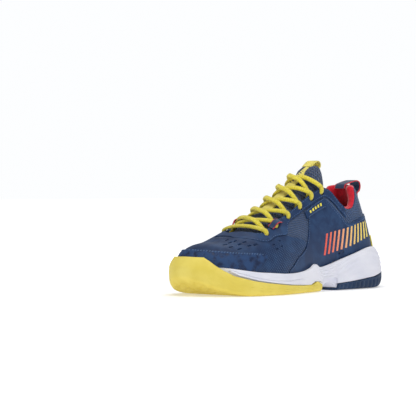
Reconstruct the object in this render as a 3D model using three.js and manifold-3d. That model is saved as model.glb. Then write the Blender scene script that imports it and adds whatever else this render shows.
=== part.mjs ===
// A left court shoe, in millimetres. +X runs from heel to toe, +Y to the wearer's left (the outer side), +Z up.
// Every layer of the upper is a skin between two curves on one last-shaped form, a set distance in or out of it.
import * as THREE from "three";
import { mergeVertices } from "three/addons/utils/BufferGeometryUtils.js";
import Module from "manifold-3d";

const wasm = await Module();
wasm.setup();

// ---- Driving sizes ----
const LAST_LENGTH = 261; // heel to toe tip, where the upper meets the sole
const LAST_WIDTH = 89.5; // across the ball, where the upper meets the sole
const UPPER_HEIGHT = 149; // ground to the top of the form over the heel
const HEEL_LEAN = 0.2; // forward lean of the heel, per unit of height
const FIT = 0.35; // gap between touching layers
const LAP = 0.6; // gap between skins that bend together

// How far the sole stands out past the upper
const OVERHANG_SIDE = 6.4;
const OVERHANG_HEEL = 9;
const OVERHANG_TOE = 9;

// Sole
const RUBBER = 2.6; // outsole rubber
const CUP_WALL = 2.4; // midsole lip that holds the upper
const SHANK = 1.3;
const STROBEL = 1.6;
const SOCKLINER = 4.2;

// Upper, from outside in
const TRIM = 0.9; // toe guard, backstay, label
const OVERLAY = 0.9; // vamp, quarters, eyestay
const MESH = 1.35;
const STIFFENER = 1.1; // toe puff and heel counter
const LINING = 0.8;
const TONGUE_SKIN = 0.9;
const TONGUE_FOAM = 3.6;

// Lace and webbing
const LACE_WIDTH = 4.8;
const LACE_THICK = 2.6;
const EYELET_PLAY = 0.1; // a hole's room round the lace that turns through it
const EYELET = LACE_WIDTH + LACE_THICK / 2 + EYELET_PLAY; // hole across
const STRAP_WIDTH = 13;
const WEBBING = 1.1;
const PULL_WIDTH = 14;

// Depth of each layer's faces: 0 is the outside of the overlays
const trim = [FIT, FIT + TRIM];
const overlay = [-OVERLAY, 0];
const mesh = [-OVERLAY - LAP - MESH, -OVERLAY - LAP];
const stiffener = [mesh[0] - LAP - STIFFENER, mesh[0] - LAP];
const lining = [stiffener[0] - LAP - LINING, stiffener[0] - LAP];
const collarFace = mesh[0] - FIT; // outer face of the collar foam

// ---- Curves ----
const clamp = (x, low, high) => Math.min(high, Math.max(low, x));
const mix = (p, q, f) => p + (q - p) * f;
const smooth = (x) => {
  const f = clamp(x, 0, 1);
  return f * f * (3 - 2 * f);
};
// A smooth function through knots [x, y]
function through(knots) {
  const slopes = knots.map((_, i) => {
    const p = knots[Math.max(0, i - 1)];
    const q = knots[Math.min(knots.length - 1, i + 1)];
    return (q[1] - p[1]) / (q[0] - p[0]);
  });
  return (value) => {
    const x = clamp(value, knots[0][0], knots.at(-1)[0]);
    const i = Math.max(1, knots.findIndex((k) => k[0] >= x)) - 1;
    const [x0, y0] = knots[i];
    const [x1, y1] = knots[i + 1];
    const h = x1 - x0;
    const u = (x - x0) / h;
    const rise = u * u * (3 - 2 * u);
    return mix(y0, y1, rise) + h * (u * (1 - u) ** 2 * slopes[i] - u * u * (1 - u) * slopes[i + 1]);
  };
}
// Straight runs through knots [x, y]
function runs(knots) {
  return (x) => {
    const i = clamp(knots.findIndex((k) => k[0] >= x), 1, knots.length - 1) || knots.length - 1;
    const [x0, y0] = knots[i - 1];
    const [x1, y1] = knots[i];
    return mix(y0, y1, clamp((x - x0) / (x1 - x0), 0, 1));
  };
}

// ---- The form ----
const LONG = LAST_LENGTH / 261;
const WIDE = LAST_WIDTH / 89.5;
const TALL = UPPER_HEIGHT / 149;
const HEEL_FOCUS = 48; // the sections fan out from here round the heel
const TOE_FOCUS = 238; // and from here round the toe
const FOCUS_BLEND = 8;
const HALF_OUTLINE = 300; // length of each side of the outline

// Plan outline of the bottom of the upper, heel, outer side, toe, inner side
const outline = new THREE.CatmullRomCurve3(
  [
    [9, 0], [13, 15], [28, 27], [55, 31], [92, 31], [128, 34], [160, 40.5], [188, 45.5], [212, 44.5],
    [236, 37], [257, 22], [269, 3], [270, -12], [263, -27], [247, -38], [222, -44], [190, -43.5],
    [160, -36.5], [128, -29], [92, -27], [55, -27.5], [28, -25], [13, -14],
  ].map(([x, y]) => new THREE.Vector3(x, y, 0)),
  true,
  "centripetal",
).getPoints(1104);
outline.pop();
const extreme = (better) => outline.reduce((best, p, i) => (better(p.x, outline[best].x) ? i : best), 0);
const toeTip = extreme((x, best) => x > best);
const heelTip = extreme((x, best) => x < best);
// The half of the outline from the toe tip to the heel tip, stepping one way round
function half(step) {
  const points = [];
  for (let i = toeTip; i !== heelTip; i = (i + step + outline.length) % outline.length) points.push(outline[i]);
  points.push(outline[heelTip]);
  const lengths = [0];
  points.slice(1).forEach((p, i) => lengths.push(lengths[i] + p.distanceTo(points[i])));
  return { points, lengths };
}
const halves = { 1: half(-1), [-1]: half(1) };
// A point of the outline, from 0 at the toe tip to 1 at the heel tip; side is 1 outer, -1 inner
function foot(side, a) {
  const { points, lengths } = halves[side];
  const s = clamp(a, 0, 1) * lengths.at(-1);
  const i = clamp(lengths.findIndex((l) => l >= s), 1, lengths.length - 1);
  const f = (s - lengths[i - 1]) / (lengths[i] - lengths[i - 1]);
  return points[i - 1].clone().lerp(points[i], f);
}
const soften = (x) => FOCUS_BLEND * Math.log1p(Math.exp(x / FOCUS_BLEND));
function spineX(a) {
  const x = (foot(1, a).x + foot(-1, a).x) / 2;
  const behind = HEEL_FOCUS + soften(x - HEEL_FOCUS);
  return TOE_FOCUS - soften(TOE_FOCUS - behind);
}
const spineY = through([[40, 0], [60, -2], [90, -5], [140, -7], [180, -6], [240, -5]]);
const spineZ = through([
  [40, 151.5], [60, 144.5], [80, 135.5], [100, 124], [120, 110.5], [140, 97], [160, 84.5], [180, 74],
  [200, 65], [220, 57], [236, 51], [250, 47],
]);
const featherZ = through([[0, 27.5], [60, 23.5], [120, 20.5], [180, 16.5], [220, 17.5], [250, 23.5], [275, 28.5]]);
const fullness = through([[0, 2.5], [0.2, 2.3], [0.42, 2.25], [0.55, 2.3], [0.64, 2.05], [0.74, 1.85], [1, 1.75]]);
// The form's surface: v is 0 at the feather line and 1 on the centre line over the foot
function form(side, a, v) {
  const edge = foot(side, a);
  const x = spineX(a);
  const turn = clamp(v, 0, 1) * (Math.PI / 2);
  const power = 2 / fullness(a);
  const out = Math.max(0, Math.cos(turn)) ** power;
  const base = featherZ(edge.x);
  const lift = (spineZ(x) - base) * Math.sin(turn) ** power;
  const lean = HEEL_LEAN * lift * smooth((a - 0.72) / 0.2);
  const y = mix(spineY(x), edge.y, out);
  return new THREE.Vector3((mix(x, edge.x, out) + lean) * LONG, y * WIDE, (base + lift) * TALL);
}
function normal(side, a, v) {
  const e = 0.004;
  const top = v > 1 - e;
  const across = top
    ? form(side, a, 1 - 4 * e).sub(form(-side, a, 1 - 4 * e))
    : form(side, a, v + e).sub(form(side, a, Math.max(0, v - e)));
  let along;
  if (top && a < 0.03) along = form(side, a + 0.08, 1).sub(form(side, a, 1));
  else if (a < e) along = form(1, e, v).sub(form(-1, e, v));
  else if (a > 1 - e) along = form(1, 1 - e, v).sub(form(-1, 1 - e, v));
  else along = form(side, a + e, v).sub(form(side, a - e, v));
  const n = along.cross(across).normalize();
  n.setZ(n.z * smooth(v / 0.08)).normalize(); // upright where the layers stand on the sole
  const core = new THREE.Vector3(spineX(a) * LONG, spineY(spineX(a)) * WIDE, form(side, a, 0).z + 12);
  return n.dot(form(side, a, v).sub(core)) < 0 ? n.negate() : n;
}
// A point at a depth from the form, negative inwards
const skin = (side, a, v, depth) => form(side, a, v).addScaledVector(normal(side, a, v), depth);
const perMillimetre = (side, a, v) => 0.02 / form(side, a, v + 0.01).distanceTo(form(side, a, v - 0.01));

// Every skin turns at the same stations round the foot, so that their flats lie one over the other
const STATIONS = [
  0, 0.03, 0.06, 0.09, 0.12, 0.15, 0.18, 0.21, 0.222, 0.235, 0.26, 0.28, 0.3, 0.32, 0.35, 0.38, 0.41, 0.44, 0.47,
  0.5, 0.53, 0.545, 0.56, 0.58, 0.6, 0.61, 0.62, 0.64, 0.66, 0.685, 0.71, 0.74, 0.77, 0.8, 0.83, 0.86, 0.89, 0.92, 0.96, 1,
];
const ROWS = 8; // rows of facets over the whole height of the form
const between = (from, to) => STATIONS.filter((a) => a >= from - 1e-6 && a <= to + 1e-6);

// ---- Solids ----
function solid(positions, triangles) {
  const geometry = new THREE.BufferGeometry();
  geometry.setAttribute("position", new THREE.Float32BufferAttribute(positions.flatMap((p) => p.toArray()), 3));
  geometry.setIndex(triangles.flat());
  return geometry;
}
// A closed shell between two faces. outer and inner give a point for (side, station, row). The sides share
// their ends at the toe and heel tips, and a row where joined says so.
function shell({ sides = [1, -1], stations, rows, joined = () => false, outer, inner }) {
  const ids = new Map();
  const outside = [];
  const inside = [];
  const id = (side, a, row) => {
    const shared = sides.length > 1 && (a === 0 || a === 1 || joined(a, row));
    const key = [shared ? 0 : side, a, row].join();
    if (!ids.has(key)) {
      ids.set(key, outside.length);
      outside.push(outer(side, a, row));
      inside.push(inner(side, a, row));
    }
    return ids.get(key);
  };
  const faces = [];
  for (const side of sides)
    for (let i = 1; i < stations.length; i++)
      for (let row = 0; row < rows; row++) {
        const [p, q] = [id(side, stations[i - 1], row), id(side, stations[i], row)];
        const [r, s] = [id(side, stations[i - 1], row + 1), id(side, stations[i], row + 1)];
        for (const face of [[p, q, s], [p, s, r]])
          if (new Set(face).size === 3) faces.push(side > 0 ? face : [face[0], face[2], face[1]]);
      }
  const count = outside.length;
  const triangles = faces.flatMap(([p, q, r]) => [[p, q, r], [count + p, count + r, count + q]]);
  const edges = new Set(faces.flatMap(([p, q, r]) => [[p, q], [q, r], [r, p]].map((edge) => edge.join())));
  for (const edge of edges) {
    const [p, q] = edge.split(",").map(Number);
    if (!edges.has([q, p].join())) triangles.push([q, p, count + p], [q, count + p, count + q]);
  }
  return solid([...outside, ...inside], triangles);
}
// A skin between the curves low and high, over the centre line wherever high reaches 1
function patch({ sides, from, to, stations = between(from, to), low = () => 0, high, faces, rows }) {
  const count = rows ?? Math.ceil(Math.max(...stations.map((a) => high(a) - low(a))) * ROWS);
  const at = (depth) => (side, a, row) => {
    const v = mix(low(a), high(a), row / count);
    return skin(side, a, v, typeof depth === "function" ? depth(a, v) : depth);
  };
  const joined = (a, row) => row === count && high(a) > 1 - 1e-6;
  return shell({ sides, stations, rows: count, joined, outer: at(faces[1]), inner: at(faces[0]) });
}
// A closed bar: the same ring of points at each step along a path, with flat ends
function bar(rings) {
  const size = rings[0].length;
  const triangles = [];
  for (let i = 1; i < rings.length; i++)
    for (let k = 0; k < size; k++) {
      const [p, q] = [(i - 1) * size + k, (i - 1) * size + ((k + 1) % size)];
      triangles.push([p, q, q + size], [p, q + size, p + size]);
    }
  const last = (rings.length - 1) * size;
  for (let k = 1; k < size - 1; k++) triangles.push([0, k + 1, k], [last, last + k, last + k + 1]);
  const points = rings.flat();
  const volume = triangles.reduce((sum, [p, q, r]) => sum + points[p].dot(points[q].clone().cross(points[r])), 0);
  return solid(points, volume < 0 ? triangles.map(([p, q, r]) => [p, r, q]) : triangles);
}
// A flat strip of webbing along a path in the XZ plane, centred on y
function strip(path, y, width, thick) {
  return bar(
    path.map((p, i) => {
      const before = path[Math.max(0, i - 1)];
      const after = path[Math.min(path.length - 1, i + 1)];
      const run = new THREE.Vector2(after[0] - before[0], after[1] - before[1]).normalize();
      const corner = (u, w) => new THREE.Vector3(p[0] - run.y * w, y + u, p[1] + run.x * w);
      const [u, w] = [width / 2, thick / 2];
      return [corner(-u, -w), corner(-u, w), corner(u, w), corner(u, -w)];
    }),
  );
}
function toSolid(geometry) {
  const bare = geometry.clone();
  bare.deleteAttribute("normal");
  bare.deleteAttribute("uv");
  const merged = mergeVertices(bare, 1e-4);
  return new wasm.Manifold(
    new wasm.Mesh({
      numProp: 3,
      vertProperties: new Float32Array(merged.attributes.position.array),
      triVerts: new Uint32Array(merged.index.array),
    }),
  );
}
function cut(geometry, tools) {
  const result = tools.reduce((body, tool) => body.subtract(toSolid(tool)), toSolid(geometry)).getMesh();
  const made = new THREE.BufferGeometry();
  made.setAttribute("position", new THREE.BufferAttribute(result.vertProperties, 3));
  made.setIndex(new THREE.BufferAttribute(result.triVerts, 1));
  return made;
}

// ---- Lines drawn on the form ----
// Top edge of the upper: front of the throat, up the lacing, down to the ankle dip, up to the heel
const topLine = runs([
  [0.26, 1], [0.28, 0.86], [0.3, 0.7], [0.32, 0.645], [0.35, 0.65], [0.41, 0.665], [0.44, 0.645], [0.5, 0.62],
  [0.58, 0.6], [0.64, 0.58], [0.66, 0.56], [0.685, 0.51], [0.71, 0.43], [0.74, 0.365], [0.77, 0.345],
  [0.8, 0.35], [0.83, 0.385], [0.86, 0.43], [0.89, 0.46], [1, 0.475],
]);
// Lower edge of the eyestay
const stayLine = runs([
  [0.235, 0.82], [0.26, 0.66], [0.28, 0.57], [0.3, 0.5], [0.32, 0.47], [0.35, 0.485], [0.38, 0.46], [0.41, 0.43],
  [0.44, 0.53], [0.5, 0.52], [0.58, 0.5], [0.64, 0.492], [0.66, 0.475], [0.685, 0.42], [0.71, 0.36], [0.74, 0.3],
]);
const guardTop = runs([[0, 0.45], [0.12, 0.43], [0.21, 0.385], [0.26, 0.33], [0.28, 0.285]]);
const guardFoot = runs([[0, 0.01], [0.21, 0.01], [0.235, 0.1], [0.26, 0.19], [0.28, 0.25]]);
const vampFoot = runs([[0, 0.01], [0.35, 0.01], [0.41, 0.105], [0.44, 0.15], [0.5, 0.2]]);
const vampFront = runs([[0.21, 1], [0.222, 0.9], [0.235, 0.8]]);
const vampRear = runs([[0.38, 1], [0.41, 0.4], [0.5, 0.235]]);
const vampTop = (a) => Math.min(a < 0.236 ? vampFront(a) : stayLine(a) - 0.012, vampRear(a));
const quarterFoot = runs([[0.38, 0.01], [0.92, 0.01]]);
const quarterTop = runs([
  [0.38, 0.05], [0.41, 0.09], [0.44, 0.135], [0.5, 0.185], [0.53, 0.3], [0.56, 0.482], [0.64, 0.48], [0.66, 0.44],
  [0.685, 0.38], [0.71, 0.325], [0.74, 0.27], [0.77, 0.262], [0.83, 0.275], [0.92, 0.295],
]);
const cupTop = through([
  [0, 0.02], [0.06, 0.02], [0.12, 0.05], [0.26, 0.055], [0.35, 0.035], [0.44, 0.024], [0.5, 0.03], [0.53, 0.05],
  [0.56, 0.016], [0.62, 0.03], [0.74, 0.078], [0.86, 0.11], [0.92, 0.085], [1, 0.1],
]);

// ---- Sole ----
// Underside of the shoe: toe spring, flat tread, heel bevel
const treadLine = through([
  [0, 11], [10, 5], [22, 1.2], [32, 0], [120, 0], [231, 0], [250, 3], [262, 8], [273, 14.5], [285, 23],
]);
const tread = (x) => Math.max(0, treadLine(x));
const overhang = through([
  [0, OVERHANG_TOE], [0.1, mix(OVERHANG_SIDE, OVERHANG_TOE, 0.45)], [0.2, OVERHANG_SIDE], [0.5, OVERHANG_SIDE],
  [0.8, OVERHANG_SIDE], [0.93, mix(OVERHANG_SIDE, OVERHANG_HEEL, 0.6)], [1, OVERHANG_HEEL],
]);
const FRONT_END = 0.56; // rear end of the front outsole
const HEEL_START = 0.66; // front end of the heel outsole
const ARCH_RISE = 5.5;
const FLAT_EDGE = -12; // edge of the flat floor inside the shoe, from the upper's foot
const frontRim = {
  1: runs([
    [0, 36.5], [0.06, 36], [0.09, 31], [0.12, 25], [0.15, 20], [0.21, 15], [0.26, 12.5], [0.35, 9.5], [0.44, 8],
    [0.5, 8], [0.53, 11], [0.56, 7.5],
  ]),
  [-1]: runs([[0, 36.5], [0.09, 35.5], [0.15, 32], [0.26, 29], [0.35, 27], [0.41, 22], [0.47, 14], [0.56, 7.5]]),
};
const heelRim = runs([[0.66, 7], [0.74, 8.5], [0.86, 12], [0.92, 16], [1, 20]]);
const outward = (side, a) => normal(side, a, 0).setZ(0).normalize();
// A point of the sole at a distance out from the upper's foot
function soleAt(side, a, out, z = 0) {
  const p = form(side, a, 0).addScaledVector(outward(side, a), out);
  return p.setZ(z);
}
// A point of the sole part of the way from the centre line to an edge point
function inSole(side, a, out, share) {
  const centre = new THREE.Vector3(spineX(a) * LONG, spineY(spineX(a)) * WIDE, 0);
  return centre.lerp(soleAt(side, a, out), share);
}
const underside = (p, lift) => p.setZ(tread(p.x / LONG) + lift);
const hug = trim[1] + FIT; // depth of the inside of the cup
// How far up the form a height is
function vAtHeight(side, a, z) {
  const [foot, crown] = [form(side, a, 0).z, form(side, a, 1).z];
  return Math.asin(clamp((z - foot) / (crown - foot), 0, 1) ** (fullness(a) / 2)) / (Math.PI / 2);
}
// The face of the rubber, or of what is set in from it: across the tread, round the corner and up to the rim.
// Above the cup the rubber leans in on to the upper.
function rubberFace(rim, inset) {
  return (side, a, row) => {
    const edge = overhang(a);
    if (row < 3) return underside(inSole(side, a, edge - 3.5 - 0.4 * inset, row / 2), inset);
    const low = underside(soleAt(side, a, edge - 0.6 - inset), 2.4 + 0.4 * inset);
    if (row === 3) return low;
    const high = rim(side, a);
    if (row === 4) return soleAt(side, a, edge - inset, mix(low.z, high, 0.45));
    const cup = form(side, a, cupTop(a)).z;
    const above = smooth((high - cup - 1) / 4);
    const shoulder = mix(mix(low.z, high, 0.7), Math.min(cup + 2, high - 1), above);
    if (row === 5) return soleAt(side, a, mix(edge, OVERHANG_SIDE, above * 0.45) - inset, shoulder);
    const wrapped = skin(side, a, vAtHeight(side, a, high), hug + RUBBER - inset);
    return soleAt(side, a, edge - inset, high).lerp(wrapped, above);
  };
}
function outsole(from, to, rim) {
  return shell({
    stations: between(from, to),
    rows: 6,
    joined: (a, row) => row === 0,
    outer: rubberFace(rim, 0),
    inner: rubberFace(rim, RUBBER),
  });
}
const frontRimAt = (side, a) => frontRim[side](a) * TALL;
const heelRimAt = (side, a) => heelRim(a) * TALL;
// Height where the foam comes out over the rubber, above its rim at this station and the two beside it
function ledge(side, a) {
  const i = STATIONS.indexOf(a);
  const near = [a, STATIONS[Math.max(0, i - 1)], STATIONS[Math.min(STATIONS.length - 1, i + 1)]];
  if (a < FRONT_END + 0.01) return Math.max(...near.map((b) => frontRimAt(side, b))) + FIT;
  if (a > HEEL_START - 0.01) return Math.max(...near.map((b) => heelRimAt(side, b))) + FIT;
  return frontRimAt(side, FRONT_END) + ARCH_RISE;
}
const arch = runs([[0.56, 0], [0.6, 1], [0.62, 1], [0.66, 0]]);
const COVERED_ROWS = [0.9, 0.96, 1]; // heights of the foam's rows where rubber covers its whole side
function midsole() {
  const inset = RUBBER + FIT;
  const floorDrop = (a) => (a > 0.38 && a < 0.8 ? SHANK + 2 * FIT : FIT);
  const outer = (side, a, row) => {
    const top = skin(side, a, cupTop(a), hug + CUP_WALL);
    const step = ledge(side, a);
    const covered = step > top.z - 2;
    const edge = overhang(a);
    if (row < 4) {
      const p = rubberFace(() => 0, inset)(side, a, row);
      return p.setZ(p.z + ARCH_RISE * arch(a));
    }
    const lip = hug + CUP_WALL;
    if (row === 7) return skin(side, a, cupTop(a), covered ? Math.min(lip, edge - inset - FIT) : lip);
    if (covered) {
      const low = rubberFace(() => 0, inset)(side, a, 3).z;
      const height = mix(low, top.z - 1.5, COVERED_ROWS[row - 4]);
      return soleAt(side, a, mix(edge, OVERHANG_SIDE, 0.5) - inset - 0.2, height);
    }
    if (row === 4) return soleAt(side, a, edge - inset, step);
    if (row === 5) return soleAt(side, a, edge, step);
    return soleAt(side, a, mix(edge, hug + CUP_WALL, 0.35), mix(step, top.z, 0.6));
  };
  const inner = (side, a, row) => {
    if (row < 3) {
      const p = inSole(side, a, FLAT_EDGE, row / 2);
      return p.setZ(featherZ(p.x / LONG) * TALL - floorDrop(a));
    }
    const corner = soleAt(side, a, hug, form(side, a, 0).z - FIT);
    if (row > 3) return corner.lerp(skin(side, a, cupTop(a), hug), (row - 4) / 3);
    const p = soleAt(side, a, FLAT_EDGE + 1.5);
    return p.setZ(featherZ(p.x / LONG) * TALL - FIT);
  };
  return shell({ stations: STATIONS, rows: 7, joined: (a, row) => row === 0, outer, inner });
}
// A flat plate inside the shoe that follows the sole's curve
function plate(from, to, edge, low, thick, chamfer = 0) {
  const inner = Math.min(edge, FLAT_EDGE);
  const at = (height, inset) => (side, a, row) => {
    const p = row < 3 ? inSole(side, a, inner - inset, row / 2) : soleAt(side, a, edge - inset);
    return p.setZ(featherZ(p.x / LONG) * TALL + height);
  };
  return shell({
    stations: between(from, to).filter((a, i) => i % 2 === 0 || a === to), // every second one
    rows: edge > FLAT_EDGE ? 3 : 2,
    joined: (a, row) => row === 0,
    outer: at(low, 0),
    inner: at(low + thick, chamfer),
  });
}
// ---- Collar ----
const COLLAR_FRONT = 0.66;
// A row of the collar's section: how far past the top line, and the depth
const collarPoint = (section) => (side, a, row) => {
  const [past, depth] = section[row];
  const v = topLine(a);
  return skin(side, a, v + past * perMillimetre(side, a, v), depth);
};
const collar = (outer, inner) =>
  shell({
    stations: between(COLLAR_FRONT, 1),
    rows: outer.length - 1,
    outer: collarPoint(outer),
    inner: collarPoint(inner),
  });
const COLLAR_PAD = 5.6; // foam at its thickest
const PAD_DEPTH = 23; // how far down it reaches
const padFace = collarFace - COLLAR_PAD;
const padSection = [
  [1.1, collarFace - 0.5], [1.9, collarFace - 2.2], [1.2, padFace + 1], [-3.4, padFace], [-13.8, padFace + 0.2],
  [-PAD_DEPTH, collarFace - 3],
];
const padBack = padSection.map((_, i) => [mix(0, -PAD_DEPTH, i / (padSection.length - 1)), collarFace]);
// The lining's section wraps the foam from the mesh's top edge to below the foam
const wrapDepth = padFace - FIT - 0.1;
const wrapInner = [
  [0.4, mesh[0]], [1.5, collarFace - 0.3], [2.5, collarFace - 2.2], [1.8, padFace + 0.6], [-3.2, wrapDepth],
  [-13.8, wrapDepth + 0.2], [-PAD_DEPTH - 2.5, collarFace - 3.45],
];
const wrapOuter = [
  [0.4, mesh[1]], [2.3, collarFace + 0.7], [3.6, collarFace - 2], [2.7, padFace - 0.2], [-3, wrapDepth - 1],
  [-13.8, wrapDepth - 0.8], [-PAD_DEPTH - 2.7, collarFace - 4.45],
];
const liningTop = runs([
  [0.26, 1], [0.28, 0.8], [0.3, 0.6], [0.32, 0.5], [0.35, 0.44], [0.62, 0.44], [0.64, 0.4], [0.66, 0.33], [0.685, 0.28],
  [0.71, 0.2], [0.74, 0.15], [0.83, 0.15], [0.86, 0.2], [0.92, 0.24], [1, 0.25],
]);
const counterTop = runs([[0.74, 0.1], [0.8, 0.12], [0.86, 0.19], [0.92, 0.25], [1, 0.28]]);

// ---- Tongue ----
const TONGUE_FRONT = 0.26;
const TONGUE_FOLD = 0.6;
const TONGUE_TOP = 0.656;
const FLAP_SIDE = 0.7; // the flap above the laces spans from here over the centre line
const tongueSide = runs([[0.26, 0.8], [0.3, 0.66], [0.35, 0.55], [0.44, 0.47], [0.66, 0.44]]);
// The tongue lies low under the eyestays and swells between them
const TONGUE_LOW = mesh[0] - LACE_THICK - 3 * FIT;
const TONGUE_HIGH = -3.6;
const tongueFace = (a, v) => {
  const swell = smooth((v - 0.6) / 0.3) * smooth((a - 0.3) / 0.05);
  return mix(TONGUE_LOW, TONGUE_HIGH, swell);
};
const depthBelow = (depth) => (a, v) => tongueFace(a, v) - depth;
const foamBack = TONGUE_SKIN + FIT + TONGUE_FOAM;
const liningFace = foamBack + 2 * LAP;
// Each layer's back and front, below the tongue's face
const tongueLayers = {
  cover: [TONGUE_SKIN, 0],
  foam: [foamBack, TONGUE_SKIN + FIT],
  lining: [liningFace + TONGUE_SKIN, liningFace],
};
// The flap above the laces is the part of the tongue that bends; the rest lies under the lacing
const foldLine = runs([[TONGUE_FOLD, 1], [0.61, 0.84], [0.62, FLAP_SIDE]]);
// Deeper layers bend round a tighter curve, so each keeps a wider gap along the flap's sides
const flapGap = { cover: 0.07, foam: 0.12, lining: 0.23 };
const lowerTongue = (layer) =>
  patch({
    stations: [...between(TONGUE_FRONT, 0.64), TONGUE_TOP],
    low: tongueSide,
    high: (a) => (a > TONGUE_FOLD + 1e-6 ? foldLine(a) - flapGap[layer] : 1),
    faces: tongueLayers[layer].map(depthBelow),
    rows: 4,
  });
const FLAP_STATIONS = [TONGUE_FOLD + 0.004, 0.61, 0.62, 0.64, TONGUE_TOP];
// The flap's layers lie straight behind each other, because its crest is too tight to follow inwards
function upperTongue(layer) {
  const rows = 3;
  const at = (depth) => (side, a, row) => {
    const v = mix(Math.min(foldLine(a) + flapGap[layer], 0.95), 1, row / rows);
    return skin(side, a, v, tongueFace(a, v)).addScaledVector(normal(1, a, 1), -depth);
  };
  const [back, front] = tongueLayers[layer];
  return shell({
    stations: FLAP_STATIONS,
    rows,
    joined: (a, row) => row === rows,
    outer: at(front),
    inner: at(back),
  });
}
const strapFaces = [depthBelow(-FIT), depthBelow(-FIT - WEBBING)];
const STRAP_SIDE = 1 - STRAP_WIDTH * 0.0085; // its edge, by its share of the form's crest
const strap = (stations) => patch({ stations, low: () => STRAP_SIDE, high: () => 1, faces: strapFaces, rows: 2 });

// ---- Lacing ----
// The middle of each pair of eyelets, from the toe up: station and height on the form
const EYELETS = [[0.33, 0.585], [0.385, 0.6], [0.455, 0.585], [0.52, 0.565], [0.585, 0.55], [0.64, 0.535]];
const eyeletTool = (side, [a, v]) => {
  const hole = new THREE.CylinderGeometry(EYELET / 2, EYELET / 2, 12, 8);
  hole.applyQuaternion(new THREE.Quaternion().setFromUnitVectors(new THREE.Vector3(0, 1, 0), normal(side, a, v)));
  return hole.translate(...skin(side, a, v, -1.5).toArray());
};
const eyeletTools = [1, -1].flatMap((side) => EYELETS.map((eyelet) => eyeletTool(side, eyelet)));
const OVER = LACE_THICK / 2 + LAP; // a lace on the eyestay
const UNDER = mesh[0] - FIT - LACE_THICK / 2; // a lace behind the upper
const LOW_CROSS = TONGUE_HIGH + 2 * LAP + WEBBING + LACE_THICK / 2;
const HIGH_CROSS = LOW_CROSS + LACE_THICK + LAP;
// One crossing, from behind eyelet i of a side, over the tongue and down through the next eyelet of the other
function crossing(side, i, middle) {
  const [[a0, v0], [a1, v1]] = [EYELETS[i], EYELETS[i + 1]];
  // The lace sags towards the toe over the middle of the tongue, more the higher it lies
  const sag = 0.008 + 0.0055 * i;
  const rise = (f, share) => mix(a0 + 0.01, a1 - 0.003, f) - sag * share;
  const edge = topLine(a1);
  return [
    [side, a0 + 0.002, v0 + 0.03, UNDER - 0.1],
    [side, rise(0.05, 0.1), topLine(a0) + 0.03, UNDER + 0.5],
    [side, rise(0.24, 0.75), 0.83, middle - 1.1],
    [side, rise(0.5, 1), 1, middle],
    [-side, rise(0.76, 0.75), 0.83, mix(middle, OVER, 0.4)],
    [-side, a1 - 0.002, edge + 0.02, OVER - 0.1],
    [-side, a1, v1 + 0.034, OVER],
    [-side, a1, v1 + 0.004, -0.2],
    [-side, a1, v1 + 0.006, mesh[0] + 0.2],
  ];
}
function chain(side) {
  const points = [];
  EYELETS.slice(1).forEach((_, i) => {
    const from = i % 2 ? -side : side;
    points.push(...crossing(from, i, (i % 2 ? -side : side) > 0 ? HIGH_CROSS : LOW_CROSS));
  });
  const [last, a, v] = points.at(-1);
  return [...points, [last, a, v - 0.03, UNDER], [last, a, v - 0.055, UNDER]];
}
function laceRoute() {
  const [a, v] = EYELETS[0];
  const ahead = (side) => [
    [side, a, v + 0.006, mesh[0] + 0.2],
    [side, a, v + 0.004, -0.2],
    [side, a - 0.001, v + 0.034, OVER],
    [side, a - 0.003, topLine(a) + 0.02, OVER - 0.2],
    [side, a - 0.006, 0.82, -0.6],
  ];
  return [
    ...chain(1).reverse(),
    ...ahead(1),
    [1, a - 0.008, 1, LOW_CROSS - WEBBING],
    ...ahead(-1).reverse(),
    ...chain(-1),
  ];
}
function lace() {
  const route = laceRoute();
  const knots = route.map(([side, a, v, depth]) => skin(side, a, v, depth));
  const path = new THREE.CatmullRomCurve3(knots, false, "centripetal");
  // The flat of the lace follows the lacing upwards wherever it bends
  const aims = route.map(([side, a, v]) => form(side, a + 0.01, v).sub(form(side, a - 0.01, v)).normalize());
  const steps = Math.round((route.length - 1) * 1.6);
  const rings = [];
  for (let i = 0; i <= steps; i++) {
    const place = (i / steps) * (route.length - 1);
    const k = Math.min(Math.floor(place), route.length - 2);
    const centre = path.getPoint(i / steps);
    const ahead = path.getTangent(i / steps);
    const across = aims[k].clone().lerp(aims[k + 1], place - k);
    across.addScaledVector(ahead, -across.dot(ahead)).normalize();
    const up = ahead.clone().cross(across);
    rings.push(
      Array.from({ length: 6 }, (_, n) => {
        const turn = (n / 6) * 2 * Math.PI;
        return centre
          .clone()
          .addScaledVector(across, (Math.cos(turn) * LACE_WIDTH) / 2)
          .addScaledVector(up, (Math.sin(turn) * LACE_THICK) / 2);
      }),
    );
  }
  return bar(rings);
}
// A webbing keeper over the lace at the second pair of eyelets
function laceKeeper(side) {
  const [a, v] = [EYELETS[1][0], EYELETS[1][1] + 0.03];
  const reach = LACE_WIDTH / 2 + FIT;
  const high = OVER + LACE_THICK / 2 + FIT;
  const arc = [
    [-reach - 5, FIT], [-reach - 1.4, FIT], [-reach + 0.2, high],
    [reach - 0.2, high], [reach + 1.4, FIT], [reach + 5, FIT],
  ];
  const half = 0.03; // half its width on the form
  const section = [[-half, 0], [-half, WEBBING], [half, WEBBING], [half, 0]];
  return bar(
    arc.map(([along, depth]) =>
      section.map(([across, lift]) => skin(side, a + along / HALF_OUTLINE, v + across, depth + lift)),
    ),
  );
}

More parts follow.
